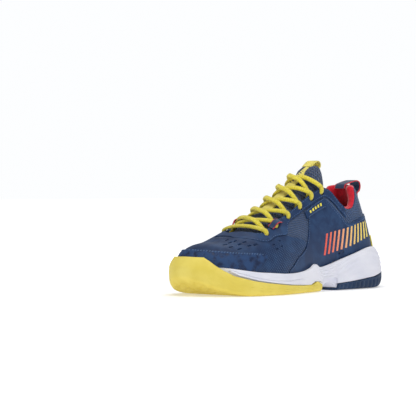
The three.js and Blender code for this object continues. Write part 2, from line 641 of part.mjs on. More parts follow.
// ---- Pull loops ----
const flat = (p) => [p.x, p.z];
function tonguePull() {
  const start = skin(1, TONGUE_TOP, 1, TONGUE_HIGH + FIT + WEBBING / 2);
  const back = skin(1, TONGUE_TOP - 0.02, 1, TONGUE_HIGH + FIT + WEBBING / 2);
  const run = start.clone().sub(back).setY(0).normalize();
  const out = new THREE.Vector3(run.z, 0, -run.x);
  const path = [[0.4, 0], [5, 0.4], [10, 0.3], [13, -1.2], [14, -4], [12.6, -7], [7, -8.3], [0.6, -8.2]];
  return strip(
    path.map(([along, lift]) => flat(start.clone().addScaledVector(run, along).addScaledVector(out, lift))),
    start.y,
    STRAP_WIDTH,
    WEBBING,
  );
}
function heelPull() {
  const at = (past, depth) => skin(1, 1, topLine(1) + past * perMillimetre(1, 1, topLine(1)), depth);
  const crest = at(3.6, collarFace - 2);
  const from = (x, z) => [crest.x + x, crest.z + z];
  const root = at(-11, trim[1] + LAP + WEBBING / 2);
  const path = [
    from(6, 0.2), from(3, WEBBING), from(0, WEBBING + 0.2), from(-7, 3), from(-14, 4), from(-18, 2.2),
    from(-19.2, -2.5), from(-17.5, -6.6), [mix(root.x, crest.x - 17.5, 0.4), root.z + 1.8],
    [root.x - 0.9, root.z + 0.6], flat(at(-14, trim[1] + LAP + WEBBING / 2)),
  ];
  return strip(path, root.y, PULL_WIDTH, WEBBING);
}

// ---- Assembly ----
const NAVY = "#1b355c";
const PU_NAVY = "#223f69";
const YELLOW = "#e8d94f";
const RED = "#d8182c";
const WHITE = "#e8e8f0";
const GREY = "#9aa0a8";
const quarterStations = [...between(0.38, 0.96), 1 - FIT / 2 / HALF_OUTLINE];
const skinOver = (from, to, low, high, faces, more) =>
  patch({ sides: [1, -1], from, to, low, high, faces, ...more });
const at = (v) => () => v;
const quarter = (side) =>
  patch({ sides: [side], stations: quarterStations, low: quarterFoot, high: quarterTop, faces: overlay });
const pieces = [
  ["outsole_front", "#e3d255", 0.6, () => outsole(0, FRONT_END, frontRimAt)],
  ["outsole_heel", "#2c4a72", 0.6, () => outsole(HEEL_START, 1, heelRimAt)],
  ["midsole", WHITE, 0.7, midsole],
  ["shank_plate", "#202428", 0.4, () => plate(0.41, 0.77, -16, -FIT - SHANK, SHANK)],
  ["strobel_board", "#c9c2b0", 0.9, () => plate(0, 1, lining[0] - FIT, 0, STROBEL, 0.4)],
  ["sockliner", "#263a5c", 0.9, () => plate(0, 1, lining[0] - 2 * FIT - 0.3, STROBEL + FIT, SOCKLINER, 2)],
  ["upper_mesh", NAVY, 0.9, () => cut(skinOver(0, 1, at(0), topLine, mesh), eyeletTools)],
  ["inner_lining", GREY, 0.9, () => skinOver(0, 1, at(0), liningTop, lining, { rows: 6 })],
  ["toe_puff", "#d8d2c4", 0.7, () => skinOver(0, 0.15, at(0), at(0.6), stiffener)],
  ["heel_counter", "#d8d2c4", 0.6, () => skinOver(0.74, 1, at(0), counterTop, stiffener)],
  ["vamp_overlay", PU_NAVY, 0.55, () => skinOver(0, 0.5, vampFoot, vampTop, overlay)],
  ["toe_guard", NAVY, 0.7, () => skinOver(0, 0.28, guardFoot, guardTop, trim)],
  ["eyestay", PU_NAVY, 0.55, () => cut(skinOver(0.235, 0.74, stayLine, topLine, overlay), eyeletTools)],
  ["quarter_overlay_lateral", PU_NAVY, 0.5, () => quarter(1)],
  ["quarter_overlay_medial", PU_NAVY, 0.5, () => quarter(-1)],
  ["heel_backstay", NAVY, 0.6, () => skinOver(0.96, 1, at(0.19), at(0.455), trim)],
  ["heel_wedge", YELLOW, 0.6, () => skinOver(0.92, 1, at(0.02), at(0.17), trim)],
  ["side_label", NAVY, 0.5, () => skinOver(0.53, 0.64, at(0.41), at(0.485), trim, { sides: [1] })],
  ["collar_foam", "#d9c98a", 0.95, () => collar(padSection, padBack)],
  ["collar_lining", RED, 0.9, () => collar(wrapOuter, wrapInner)],
  ["tongue_cover", NAVY, 0.9, () => lowerTongue("cover")],
  ["tongue_foam", "#d9c98a", 0.95, () => lowerTongue("foam")],
  ["tongue_lining", NAVY, 0.9, () => lowerTongue("lining")],
  ["tongue_flap_cover", NAVY, 0.9, () => upperTongue("cover")],
  ["tongue_flap_foam", "#d9c98a", 0.95, () => upperTongue("foam")],
  ["tongue_flap_lining", NAVY, 0.9, () => upperTongue("lining")],
  ["tongue_strap", "#efe27c", 0.7, () => strap(between(0.44, TONGUE_FOLD))],
  ["tongue_flap_strap", "#efe27c", 0.7, () => strap(FLAP_STATIONS)],
  ["tongue_pull", YELLOW, 0.7, tonguePull],
  ["heel_pull", NAVY, 0.8, heelPull],
  ["lace", YELLOW, 0.8, lace],
  ["lace_keeper_lateral", NAVY, 0.8, () => laceKeeper(1)],
  ["lace_keeper_medial", NAVY, 0.8, () => laceKeeper(-1)],
];
const shoe = new THREE.Group();
for (const [name, color, roughness, make] of pieces) {
  const piece = new THREE.Mesh(make(), new THREE.MeshStandardMaterial({ color, roughness, metalness: 0 }));
  piece.name = name;
  shoe.add(piece);
}
// The origin is on the ground under the middle of the shoe
const bounds = new THREE.Box3().setFromObject(shoe);
const middle = bounds.getCenter(new THREE.Vector3());
shoe.position.set(-middle.x, -middle.y, -bounds.min.z);

export default shoe;
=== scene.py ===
# A left court shoe. Lengths in the shape functions are millimetres on the shoe's last: x from the heel tip,
# y to the wearer's left, z from the ground. A station a runs from 0 at the toe tip to 1 at the heel tip on
# one side of the foot, and v from 0 at the sole line to 1 on the centre line over the foot.
import bisect
import functools
import math

import bmesh
import bpy
from mathutils import Matrix, Vector, noise


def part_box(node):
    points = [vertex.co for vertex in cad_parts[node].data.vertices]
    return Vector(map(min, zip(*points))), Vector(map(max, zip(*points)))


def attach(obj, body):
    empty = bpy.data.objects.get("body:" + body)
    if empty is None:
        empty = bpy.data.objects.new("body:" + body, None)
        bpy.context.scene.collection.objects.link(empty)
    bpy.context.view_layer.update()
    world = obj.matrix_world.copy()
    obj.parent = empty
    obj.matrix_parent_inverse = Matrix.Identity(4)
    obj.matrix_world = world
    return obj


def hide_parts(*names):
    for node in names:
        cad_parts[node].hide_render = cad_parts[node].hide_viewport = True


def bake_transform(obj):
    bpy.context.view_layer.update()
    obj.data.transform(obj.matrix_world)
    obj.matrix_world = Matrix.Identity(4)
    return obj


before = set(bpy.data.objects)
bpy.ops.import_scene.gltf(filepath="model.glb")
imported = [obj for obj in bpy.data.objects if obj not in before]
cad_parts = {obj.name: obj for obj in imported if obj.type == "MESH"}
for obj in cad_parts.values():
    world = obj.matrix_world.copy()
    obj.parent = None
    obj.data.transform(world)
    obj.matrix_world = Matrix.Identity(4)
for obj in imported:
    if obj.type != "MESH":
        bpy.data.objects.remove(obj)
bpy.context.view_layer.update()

MM = 0.001
SOLE_MIDDLE = 0.54  # y of the middle of the sole
ORIGIN = Vector((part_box("outsole_heel")[0][0], -SOLE_MIDDLE * MM, 0))


# ---- Camera, light and ground ----
def set_camera():
    data = bpy.data.cameras.new("camera")
    data.lens = 164.4
    data.sensor_width = 36
    data.clip_end = 50
    camera = bpy.data.objects.new("camera", data)
    camera.location = Vector((1.576, 1.2313, 0.1075)) + ORIGIN
    camera.rotation_euler = Vector((-0.7358, -0.6824, -0.0132)).to_track_quat("-Z", "Y").to_euler()
    bpy.context.scene.collection.objects.link(camera)
    bpy.context.scene.camera = camera


def add_light(name, place, aim, size, power):
    data = bpy.data.lights.new(name, "AREA")
    data.size = size
    data.energy = power
    light = bpy.data.objects.new(name, data)
    light.location = place
    light.rotation_euler = (Vector(aim) - Vector(place)).to_track_quat("-Z", "Y").to_euler()
    bpy.context.scene.collection.objects.link(light)


def set_studio():
    world = bpy.data.worlds.new("studio")
    world.use_nodes = True
    nodes, links = world.node_tree.nodes, world.node_tree.links
    sky = nodes["Background"]
    sky.inputs["Color"].default_value = (0.98, 0.99, 1, 1)
    seen = nodes.new("ShaderNodeLightPath").outputs["Is Camera Ray"]
    strength = nodes.new("ShaderNodeMapRange")  # a white backdrop over a softer studio
    strength.inputs["To Min"].default_value = 0.33
    strength.inputs["To Max"].default_value = 1.0
    links.new(seen, strength.inputs["Value"])
    links.new(strength.outputs[0], sky.inputs["Strength"])
    bpy.context.scene.world = world
    bpy.context.scene.view_settings.view_transform = "Standard"
    add_light("key", (0.35, 0.3, 1.2), (0, 0, 0.04), 0.6, 8)
    add_light("fill", (1.2, -0.6, 0.5), (0, 0, 0.05), 0.8, 2)
    add_light("side", (0.1, 1.2, 0.35), (0, 0, 0.05), 0.6, 2.2)
    add_light("rim", (-0.8, -0.3, 0.7), (0, 0, 0.06), 0.5, 3)
    bm = bmesh.new()
    bmesh.ops.create_grid(bm, x_segments=2, y_segments=2, size=8)
    floor = to_object(bm, "floor", None, scaled=False)
    paint = Finish("floor_paint", 0.9)
    paint.colour((0.8, 0.8, 0.81))
    # The floor glows though it is no lamp: painted light, weak near the shoe so its shadow still shows and
    # strong farther out so the far floor reads white.
    paint.shader.inputs["Emission Color"].default_value = (1, 1, 1, 1)
    away = paint.node("ShaderNodeVectorMath", {"operation": "LENGTH"}, {0: paint.place()}, out=1)
    paint.put("Emission Strength", 0.34 + 0.44 * away.spread(0.16, 0.6))
    floor.data.materials.append(paint.material)


# ---- Curves ----
def clamp(x, low, high):
    return min(high, max(low, x))


def mix(p, q, f):
    return p + (q - p) * f


def smooth(x):
    f = clamp(x, 0, 1)
    return f * f * (3 - 2 * f)


def through(knots):
    """A smooth function through knots (x, y)."""
    slopes = []
    for i in range(len(knots)):
        p, q = knots[max(0, i - 1)], knots[min(len(knots) - 1, i + 1)]
        slopes.append((q[1] - p[1]) / (q[0] - p[0]))
    places = [k[0] for k in knots]

    def curve(value):
        x = clamp(value, places[0], places[-1])
        i = max(1, bisect.bisect_left(places, x)) - 1
        (x0, y0), (x1, y1) = knots[i], knots[i + 1]
        h = x1 - x0
        u = (x - x0) / h
        bend = u * (1 - u) ** 2 * slopes[i] - u * u * (1 - u) * slopes[i + 1]
        return mix(y0, y1, u * u * (3 - 2 * u)) + h * bend

    return curve


def runs(knots):
    """Straight runs through knots (x, y)."""
    places = [k[0] for k in knots]

    def curve(x):
        i = clamp(bisect.bisect_left(places, x), 1, len(knots) - 1)
        (x0, y0), (x1, y1) = knots[i - 1], knots[i]
        return mix(y0, y1, clamp((x - x0) / (x1 - x0), 0, 1))

    return curve


def spline(points, closed=False):
    """A centripetal Catmull-Rom curve: a function of 0 to 1, evenly shared between the points."""
    count = len(points)
    spans = count if closed else count - 1

    def point(i):
        if closed:
            return points[i % count]
        if i < 0:
            return 2 * points[0] - points[1]
        return points[i] if i < count else 2 * points[-1] - points[-2]

    def curve(f):
        place = clamp(f, 0, 1) * spans
        i = min(int(place), spans - 1)
        u = place - i
        p0, p1, p2, p3 = (point(i + k) for k in (-1, 0, 1, 2))
        d0, d1, d2 = (max(math.sqrt((b - a).length), 1e-4) for a, b in ((p0, p1), (p1, p2), (p2, p3)))
        t1 = ((p1 - p0) / d0 - (p2 - p0) / (d0 + d1) + (p2 - p1) / d1) * d1
        t2 = ((p2 - p1) / d1 - (p3 - p1) / (d1 + d2) + (p3 - p2) / d2) * d1
        square, cube = u * u, u * u * u
        return (
            p1 * (2 * cube - 3 * square + 1) + t1 * (cube - 2 * square + u)
            + p2 * (3 * square - 2 * cube) + t2 * (cube - square)
        )

    return curve


# ---- The form ----
HEEL_LEAN = 0.2
HEEL_FOCUS = 48
TOE_FOCUS = 238
FOCUS_BLEND = 8
HALF_OUTLINE = 300  # length of each side of the outline
UP = 110  # length of a section from the sole line to the centre line, about
OUTLINE_STEPS = 1104
outline_knots = [
    (9, 0), (13, 15), (28, 27), (55, 31), (92, 31), (128, 34), (160, 40.5), (188, 45.5), (212, 44.5),
    (236, 37), (257, 22), (269, 3), (270, -12), (263, -27), (247, -38), (222, -44), (190, -43.5),
    (160, -36.5), (128, -29), (92, -27), (55, -27.5), (28, -25), (13, -14),
]
outline_curve = spline([Vector(k) for k in outline_knots], closed=True)
outline = [outline_curve(i / OUTLINE_STEPS) for i in range(OUTLINE_STEPS)]
toe_tip = max(range(OUTLINE_STEPS), key=lambda i: outline[i].x)
heel_tip = min(range(OUTLINE_STEPS), key=lambda i: outline[i].x)


def half_outline(step):
    points = []
    i = toe_tip
    while i != heel_tip:
        points.append(outline[i])
        i = (i + step) % OUTLINE_STEPS
    points.append(outline[heel_tip])
    lengths = [0]
    for p, q in zip(points, points[1:]):
        lengths.append(lengths[-1] + (q - p).length)
    return points, lengths


halves = {1: half_outline(-1), -1: half_outline(1)}


def foot(side, a):
    points, lengths = halves[side]
    s = clamp(a, 0, 1) * lengths[-1]
    i = clamp(bisect.bisect_left(lengths, s), 1, len(lengths) - 1)
    return points[i - 1].lerp(points[i], (s - lengths[i - 1]) / (lengths[i] - lengths[i - 1]))


def soften(x):
    return FOCUS_BLEND * math.log1p(math.exp(x / FOCUS_BLEND))


@functools.lru_cache(maxsize=20000)
def spine_x(a):
    x = (foot(1, a).x + foot(-1, a).x) / 2
    behind = HEEL_FOCUS + soften(x - HEEL_FOCUS)
    return TOE_FOCUS - soften(TOE_FOCUS - behind)


spine_y = through([(40, 0), (60, -2), (90, -5), (140, -7), (180, -6), (240, -5)])
spine_z = through([
    (40, 151.5), (60, 144.5), (80, 135.5), (100, 124), (120, 110.5), (140, 97), (160, 84.5), (180, 74),
    (200, 65), (220, 57), (236, 51), (250, 47),
])
feather_z = through([(0, 27.5), (60, 23.5), (120, 20.5), (180, 16.5), (220, 17.5), (250, 23.5), (275, 28.5)])
fullness = through([(0, 2.5), (0.2, 2.3), (0.42, 2.25), (0.55, 2.3), (0.64, 2.05), (0.74, 1.85), (1, 1.75)])


@functools.lru_cache(maxsize=40000)
def section(side, a):
    edge = foot(side, a)
    x = spine_x(a)
    base = feather_z(edge.x)
    return edge, x, spine_y(x), base, spine_z(x) - base, 2 / fullness(a), HEEL_LEAN * smooth((a - 0.72) / 0.2)


def form(side, a, v):
    edge, x, y, base, height, power, lean = section(side, a)
    turn = clamp(v, 0, 1) * math.pi / 2
    out = max(0, math.cos(turn)) ** power
    lift = height * math.sin(turn) ** power
    return Vector((mix(x, edge.x, out) + lean * lift, mix(y, edge.y, out), base + lift))


def normal(side, a, v):
    e = 0.004
    top = v > 1 - e
    if top:
        across = form(side, a, 1 - 4 * e) - form(-side, a, 1 - 4 * e)
    else:
        across = form(side, a, v + e) - form(side, a, max(0, v - e))
    if top and a < 0.03:
        along = form(side, a + 0.08, 1) - form(side, a, 1)
    elif a < e:
        along = form(1, e, v) - form(-1, e, v)
    elif a > 1 - e:
        along = form(1, 1 - e, v) - form(-1, 1 - e, v)
    else:
        along = form(side, a + e, v) - form(side, a - e, v)
    n = along.cross(across).normalized()
    n.z *= smooth(v / 0.08)  # upright where the layers stand on the sole
    n.normalize()
    core = Vector((spine_x(a), spine_y(spine_x(a)), form(side, a, 0).z + 12))
    return -n if n.dot(form(side, a, v) - core) < 0 else n


def skin(side, a, v, depth):
    return form(side, a, v) + normal(side, a, v) * depth


def per_millimetre(side, a, v):
    return 0.02 / (form(side, a, v + 0.01) - form(side, a, v - 0.01)).length


def around(w):
    """The side and station of a place on the way round the foot: below 0 or past 1 is the inner side."""
    if w < 0:
        return -1, -w
    return (1, w) if w <= 1 else (-1, 2 - w)


# ---- Sizes ----
FIT = 0.35
LAP = 0.6
OVERHANG_SIDE = 6.4
OVERHANG_HEEL = 9
OVERHANG_TOE = 9
RUBBER = 2.6
CUP_WALL = 2.4
SHANK = 1.3
STROBEL = 1.6
SOCKLINER = 4.2
TRIM = 0.9
OVERLAY = 0.9
MESH = 1.35
STIFFENER = 1.1
LINING = 0.8
TONGUE_SKIN = 0.9
TONGUE_FOAM = 3.6
LACE_WIDTH = 4.8
LACE_THICK = 2.6
EYELET = 6.2
STRAP_WIDTH = 13
WEBBING = 1.1
PULL_WIDTH = 14
trim = (FIT - 0.3, FIT + TRIM)
overlay = (-OVERLAY, 0)
knit = (-OVERLAY - LAP - MESH, -OVERLAY - 0.15)
lining_back = knit[0] - 2 * LAP - STIFFENER - LINING
collar_face = knit[0] - FIT
OVER = LACE_THICK / 2 + LAP
UNDER = knit[0] - FIT - LACE_THICK / 2
TONGUE_LOW = knit[0] - LACE_THICK - 3 * FIT
TONGUE_HIGH = -3.6
LOW_CROSS = TONGUE_HIGH + 2 * LAP + WEBBING + LACE_THICK / 2
HIGH_CROSS = LOW_CROSS + LACE_THICK + LAP

# ---- Lines drawn on the form ----
top_line = through([
    (0.26, 1), (0.28, 0.86), (0.3, 0.7), (0.32, 0.645), (0.35, 0.65), (0.41, 0.665), (0.44, 0.645),
    (0.5, 0.62), (0.58, 0.6), (0.64, 0.58), (0.66, 0.56), (0.685, 0.51), (0.71, 0.43), (0.74, 0.365),
    (0.77, 0.345),
    (0.8, 0.35), (0.83, 0.385), (0.86, 0.43), (0.89, 0.46), (1, 0.475),
])
stay_line = through([
    (0.235, 0.82), (0.26, 0.66), (0.28, 0.57), (0.3, 0.5), (0.32, 0.47), (0.35, 0.485), (0.38, 0.46),
    (0.41, 0.43), (0.44, 0.53), (0.5, 0.52), (0.58, 0.5), (0.64, 0.492), (0.66, 0.475), (0.685, 0.42),
    (0.71, 0.36), (0.74, 0.3),
])
guard_top = through([(0, 0.45), (0.12, 0.43), (0.21, 0.385), (0.26, 0.33), (0.28, 0.285)])
guard_foot = runs([(0, 0.01), (0.21, 0.01), (0.235, 0.1), (0.26, 0.19), (0.28, 0.25)])
vamp_foot = runs([(0, 0.01), (0.35, 0.01), (0.41, 0.105), (0.44, 0.15), (0.5, 0.2)])
vamp_front = runs([(0.21, 1), (0.222, 0.9), (0.235, 0.8)])
vamp_rear = runs([(0.38, 1), (0.41, 0.4), (0.5, 0.235)])
quarter_top = through([
    (0.38, 0.05), (0.41, 0.09), (0.44, 0.135), (0.5, 0.185), (0.53, 0.3), (0.56, 0.482), (0.64, 0.48),
    (0.66, 0.44),
    (0.685, 0.38), (0.71, 0.325), (0.74, 0.27), (0.77, 0.262), (0.83, 0.275), (0.92, 0.295), (1, 0.3),
])
cup_top = through([
    (0, 0.02), (0.06, 0.02), (0.12, 0.05), (0.26, 0.055), (0.35, 0.035), (0.44, 0.024), (0.5, 0.03),
    (0.53, 0.045),
    (0.56, 0.02), (0.62, 0.03), (0.74, 0.078), (0.86, 0.11), (0.92, 0.085), (1, 0.1),
])
tongue_side = runs([(0.26, 0.8), (0.3, 0.66), (0.35, 0.55), (0.44, 0.47), (0.66, 0.44)])
EYELETS = [(0.33, 0.585), (0.385, 0.6), (0.455, 0.585), (0.52, 0.565), (0.585, 0.55), (0.64, 0.535)]


def level(v):
    return lambda a: v


def vamp_top(a):
    front = vamp_front(a) if a < 0.236 else stay_line(a) - 0.012
    return min(front, vamp_rear(a))


# ---- Finishes ----
class Wire:
    """A value in a finish's nodes, with arithmetic."""

    def __init__(self, finish, socket):
        self.finish = finish
        self.socket = socket

    def maths(self, operation, *values):
        sockets = dict(enumerate(values))
        return self.finish.node("ShaderNodeMath", {"operation": operation}, sockets)

    def __add__(self, other):
        return self.maths("ADD", self, other)

    __radd__ = __add__

    def __sub__(self, other):
        return self.maths("SUBTRACT", self, other)

    def __rsub__(self, other):
        return self.maths("SUBTRACT", other, self)

    def __mul__(self, other):
        return self.maths("MULTIPLY", self, other)

    __rmul__ = __mul__

    def cos(self):
        return self.maths("COSINE", self)

    def size(self):
        return self.maths("ABSOLUTE", self)

    def spread(self, low, high):
        """0 below low, 1 above high and smooth between them."""
        settings = {"interpolation_type": "SMOOTHSTEP"}
        sockets = {"Value": self, "From Min": low, "From Max": high}
        return self.finish.node("ShaderNodeMapRange", settings, sockets)


class Finish:
    def __init__(self, name, roughness, sheen=0, shine=0.3):
        self.material = bpy.data.materials.new(name)
        self.material.use_nodes = True
        self.tree = self.material.node_tree
        self.shader = self.tree.nodes["Principled BSDF"]
        self.shader.inputs["Roughness"].default_value = roughness
        self.shader.inputs["Specular IOR Level"].default_value = shine
        if sheen:
            self.shader.inputs["Sheen Weight"].default_value = sheen
            self.shader.inputs["Sheen Roughness"].default_value = 0.5

    def node(self, kind, settings=None, sockets=None, out=0):
        made = self.tree.nodes.new(kind)
        for key, value in (settings or {}).items():
            if key == "stops":
                self.set_stops(made.color_ramp, value)
            else:
                setattr(made, key, value)
        for key, value in (sockets or {}).items():
            if isinstance(value, Wire):
                self.tree.links.new(value.socket, made.inputs[key])
            else:
                made.inputs[key].default_value = value
        return Wire(self, made.outputs[out])

    def set_stops(self, ramp, stops):
        while len(ramp.elements) < len(stops):
            ramp.elements.new(0.5)
        for element, (place, rgb) in zip(ramp.elements, stops):
            element.position = place
            element.color = (*rgb, 1)

    def place(self):
        return self.node("ShaderNodeTexCoord", out="Object")

    def axes(self, vector):
        return [self.node("ShaderNodeSeparateXYZ", None, {0: vector}, out=k) for k in (0, 1, 2)]

    def cloth(self):
        """Millimetres along and up the piece, from its own map."""
        along, up, _ = self.axes(self.node("ShaderNodeUVMap", {"uv_map": "cloth"}))
        return along * 1000, up * 1000

    def grain(self, scale, detail=3, distortion=0):
        sockets = {"Vector": self.place(), "Scale": scale, "Detail": detail, "Distortion": distortion}
        return self.node("ShaderNodeTexNoise", None, sockets)

    def cells(self, scale, feature="F1"):
        settings = {"feature": feature}
        return self.node("ShaderNodeTexVoronoi", settings, {"Vector": self.place(), "Scale": scale})

    def tint(self, factor, low, high):
        """Colour low where factor is 0 and high where it is 1. Either can be a wire."""
        colours = [c if isinstance(c, Wire) else (*c, 1) for c in (low, high)]
        sockets = {0: factor, 6: colours[0], 7: colours[1]}
        return self.node("ShaderNodeMix", {"data_type": "RGBA"}, sockets, out=2)

    def ramp(self, factor, stops):
        return self.node("ShaderNodeValToRGB", {"stops": stops}, {0: factor})

    def put(self, socket, value):
        if isinstance(value, Wire):
            self.tree.links.new(value.socket, self.shader.inputs[socket])
        else:
            self.shader.inputs[socket].default_value = value

    def colour(self, value):
        self.put("Base Color", value if isinstance(value, Wire) else (*value, 1))
        return self

    def bumps(self, height, distance, strength=1):
        """Raised detail, in millimetres."""
        sockets = {"Height": height, "Distance": distance * MM, "Strength": strength}
        self.put("Normal", self.node("ShaderNodeBump", None, sockets))
        return self


def turns(wire, pitch):
    """A wave of one turn in each pitch."""
    return (wire * (2 * math.pi / pitch)).cos()


NAVY = (0.009, 0.026, 0.085)
PALE_YELLOW = (0.93, 0.80, 0.18)
RED = (0.70, 0.006, 0.028)


def knit_finish():
    f = Finish("knit_mesh", 0.85, 0.25)
    along, up = f.cloth()
    weave = turns(along, 3.2) * turns(up, 2.7)
    holes = weave.spread(0.1, 0.75)
    threads = turns(up, 0.55) * 0.12
    shade = f.tint(f.grain(160, 2), (0.02, 0.055, 0.15), (0.045, 0.105, 0.24))
    # The knit's holes are painted near-black: painted shade inside the holes.
    f.colour(f.tint(holes, shade, (0.002, 0.006, 0.024)))
    return f.bumps(threads - holes, 0.8, 1)


def synthetic_finish():
    f = Finish("smooth_synthetic", 0.42)
    mottle = f.grain(75, 4, 0.6)
    f.colour(f.tint(mottle.spread(0.35, 0.7), (0.011, 0.032, 0.095), (0.022, 0.06, 0.15)))
    f.put("Roughness", 0.36 + 0.2 * mottle)
    pores = f.cells(1500)
    return f.bumps(pores * 0.4 + f.grain(900, 2) * 0.5, 0.12, 0.7)


def vamp_finish():
    f = Finish("checked_synthetic", 0.4)
    along, up = f.cloth()
    fade = along.size().spread(58, 112) * (1 - up.spread(30, 52))
    rising, falling = turns(along + 0.75 * up, 3.1), turns(along - 0.75 * up, 3.1)
    ridge = rising * falling
    check = rising.spread(-0.1, 0.4) * falling.spread(-0.1, 0.4)
    base = f.tint(f.grain(90, 4).spread(0.35, 0.7), (0.009, 0.026, 0.08), (0.018, 0.05, 0.13))
    f.colour(f.tint(check * fade * 0.85, base, (0.07, 0.13, 0.25)))
    f.put("Roughness", 0.34 + 0.22 * f.grain(120, 3))
    return f.bumps(ridge * fade * 0.5 + f.grain(900, 2) * 0.3, 0.25, 0.6)


def guard_finish():
    f = Finish("grained_guard", 0.55)
    patches = f.cells(170, "SMOOTH_F1") + f.grain(210, 5, 1.5) * 0.9
    raised = patches.spread(0.55, 1.0)
    f.colour(f.tint(raised, (0.006, 0.018, 0.062), (0.02, 0.055, 0.15)))
    f.put("Roughness", 0.42 + 0.3 * raised)
    return f.bumps(raised + f.grain(1200, 3) * 0.3, 0.5, 0.9)


def rubber_finish(name, low, high, pit_amount, roughness):
    f = Finish(name, roughness)
    cloud = f.grain(45, 4).spread(0.3, 0.75)
    dots = 1 - f.cells(190).spread(0.1, 0.2)
    chosen = f.grain(36, 1).spread(0.52, 0.6)
    pits = dots * chosen * pit_amount
    base = f.tint(cloud, low, high)
    # The pits are painted darker as well as sunk: painted shade in the small recesses.
    f.colour(f.tint(pits * 0.55, base, tuple(c * 0.45 for c in low)))
    f.put("Roughness", roughness - 0.1 + 0.2 * f.grain(300, 4))
    return f.bumps(f.grain(1100, 4) * 0.25 - pits, 0.35, 0.7)


def foam_finish():
    f = Finish("midsole_foam", 0.5)
    shade = f.grain(30, 3).spread(0.3, 0.8)
    f.colour(f.tint(shade, (0.72, 0.73, 0.82), (0.82, 0.82, 0.88)))
    f.put("Roughness", 0.4 + 0.2 * f.grain(200, 4))
    return f.bumps(f.cells(1800) * 0.5 + f.grain(700, 3) * 0.4, 0.1, 0.6)


def brushed_finish(name, low, high):
    f = Finish(name, 0.9, 0.4)
    f.colour(f.tint(f.grain(420, 4).spread(0.3, 0.7), low, high))
    return f.bumps(f.grain(1900, 4, 0.5), 0.28, 0.8)


def spacer_finish():
    f = Finish("spacer_mesh", 0.9, 0.3)
    along, up = f.cloth()
    cells = turns(along, 4.4) * turns(up, 3.6)
    holes = cells.spread(0.0, 0.7)
    threads = (turns(along + up, 0.8) * turns(along - up, 0.8)) * 0.2
    shade = f.tint(f.grain(260, 3), (0.014, 0.042, 0.125), (0.03, 0.08, 0.2))
    # The spacer's holes are painted near-black: painted shade inside the holes.
    f.colour(f.tint(holes, shade, (0.003, 0.009, 0.034)))
    return f.bumps(threads - holes, 0.9, 1)


def tape_finish(name, low, high, edge=None, half_width=7, marks=None):
    f = Finish(name, 0.75, 0.3)
    along, across = f.cloth()
    ribs = turns(along, 0.9) * 0.5 + turns(across + 0.5 * along, 0.7) * 0.4
    tone = f.tint(f.grain(500, 3), low, high)
    if edge:
        tone = f.tint(across.size().spread(half_width - 3.0, half_width - 2.7), tone, edge)
    if marks:
        tone = f.tint(marks(along, across), tone, NAVY)
    f.colour(tone)
    return f.bumps(ribs, 0.22, 0.8)


def strap_marks(along, across):
    """A short column of plain slanted bars, up the strap's middle."""
    bars = turns(along + 0.6 * across, 3.4).spread(0.25, 0.4)
    band = 1 - across.size().spread(2.2, 2.4)
    return bars * band * (along.spread(47, 47.4) * (1 - along.spread(67, 67.4)))


def lace_finish():
    f = Finish("braided_lace", 0.7, 0.35)
    along, across = f.cloth()
    braid = turns(along + 1.2 * across, 2.0) * turns(along - 1.2 * across, 2.0)
    tone = f.tint(f.grain(600, 3).spread(0.3, 0.7), (0.80, 0.66, 0.02), (0.92, 0.80, 0.06))
    f.colour(f.tint(braid.spread(0.1, 0.9) * 0.35, tone, (0.5, 0.36, 0.015)))
    return f.bumps(braid, 0.35, 0.8)


def thread_finish():
    f = Finish("stitch_thread", 0.6)
    f.colour(f.tint(f.grain(900, 2), (0.06, 0.12, 0.25), (0.12, 0.2, 0.36)))
    return f.bumps(f.grain(4000, 2), 0.06, 0.6)


def bars_finish():
    f = Finish("graded_film", 0.4)
    x, _, _ = f.axes(f.place())
    fade = ((0.005 - x) * 9).spread(0.0, 1.0)
    stops = [
        (0.0, (0.80, 0.02, 0.03)), (0.35, (0.85, 0.17, 0.10)), (0.65, (0.88, 0.42, 0.22)),
        (1.0, (0.90, 0.74, 0.16)),
    ]
    f.colour(f.ramp(fade, stops))
    return f.bumps(f.grain(1500, 2), 0.04, 0.5)


def plain_finish(name, low, high, roughness):
    f = Finish(name, roughness)
    f.colour(f.tint(f.grain(300, 4).spread(0.3, 0.7), low, high))
    return f.bumps(f.grain(1200, 3), 0.1, 0.6)


# ---- Making pieces ----
def to_object(bm, name, finish, scaled=True, body=None, stands_for=(), bevel=0.0):
    if scaled:
        bmesh.ops.scale(bm, vec=(MM, MM, MM), verts=bm.verts)
        bmesh.ops.translate(bm, vec=ORIGIN, verts=bm.verts)
    for face in bm.faces:
        face.smooth = True
    for edge in bm.edges:
        if len(edge.link_faces) == 2 and edge.calc_face_angle(0) > 0.8:
            edge.smooth = False
    mesh = bpy.data.meshes.new(name)
    bm.to_mesh(mesh)
    bm.free()
    obj = bpy.data.objects.new(name, mesh)
    bpy.context.scene.collection.objects.link(obj)
    if bevel:
        modifier = obj.modifiers.new("rounded", "BEVEL")
        modifier.width = bevel * MM
        modifier.segments = 2
        modifier.limit_method = "ANGLE"
        modifier.angle_limit = 0.8
    if finish:
        obj.data.materials.append(finish.material)
    if body:
        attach(obj, body)
    if stands_for:
        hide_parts(*stands_for)
    return obj


def face_outwards(bm):
    bmesh.ops.recalc_face_normals(bm, faces=bm.faces)
    if bm.calc_volume(signed=True) < 0:
        bmesh.ops.reverse_faces(bm, faces=bm.faces)


def blank():
    """An empty mesh whose points know their place (s, t) and whose faces have a cloth map."""
    bm = bmesh.new()
    places = bm.verts.layers.float.new("s"), bm.verts.layers.float.new("t")
    return bm, *places, bm.loops.layers.uv.new("cloth")


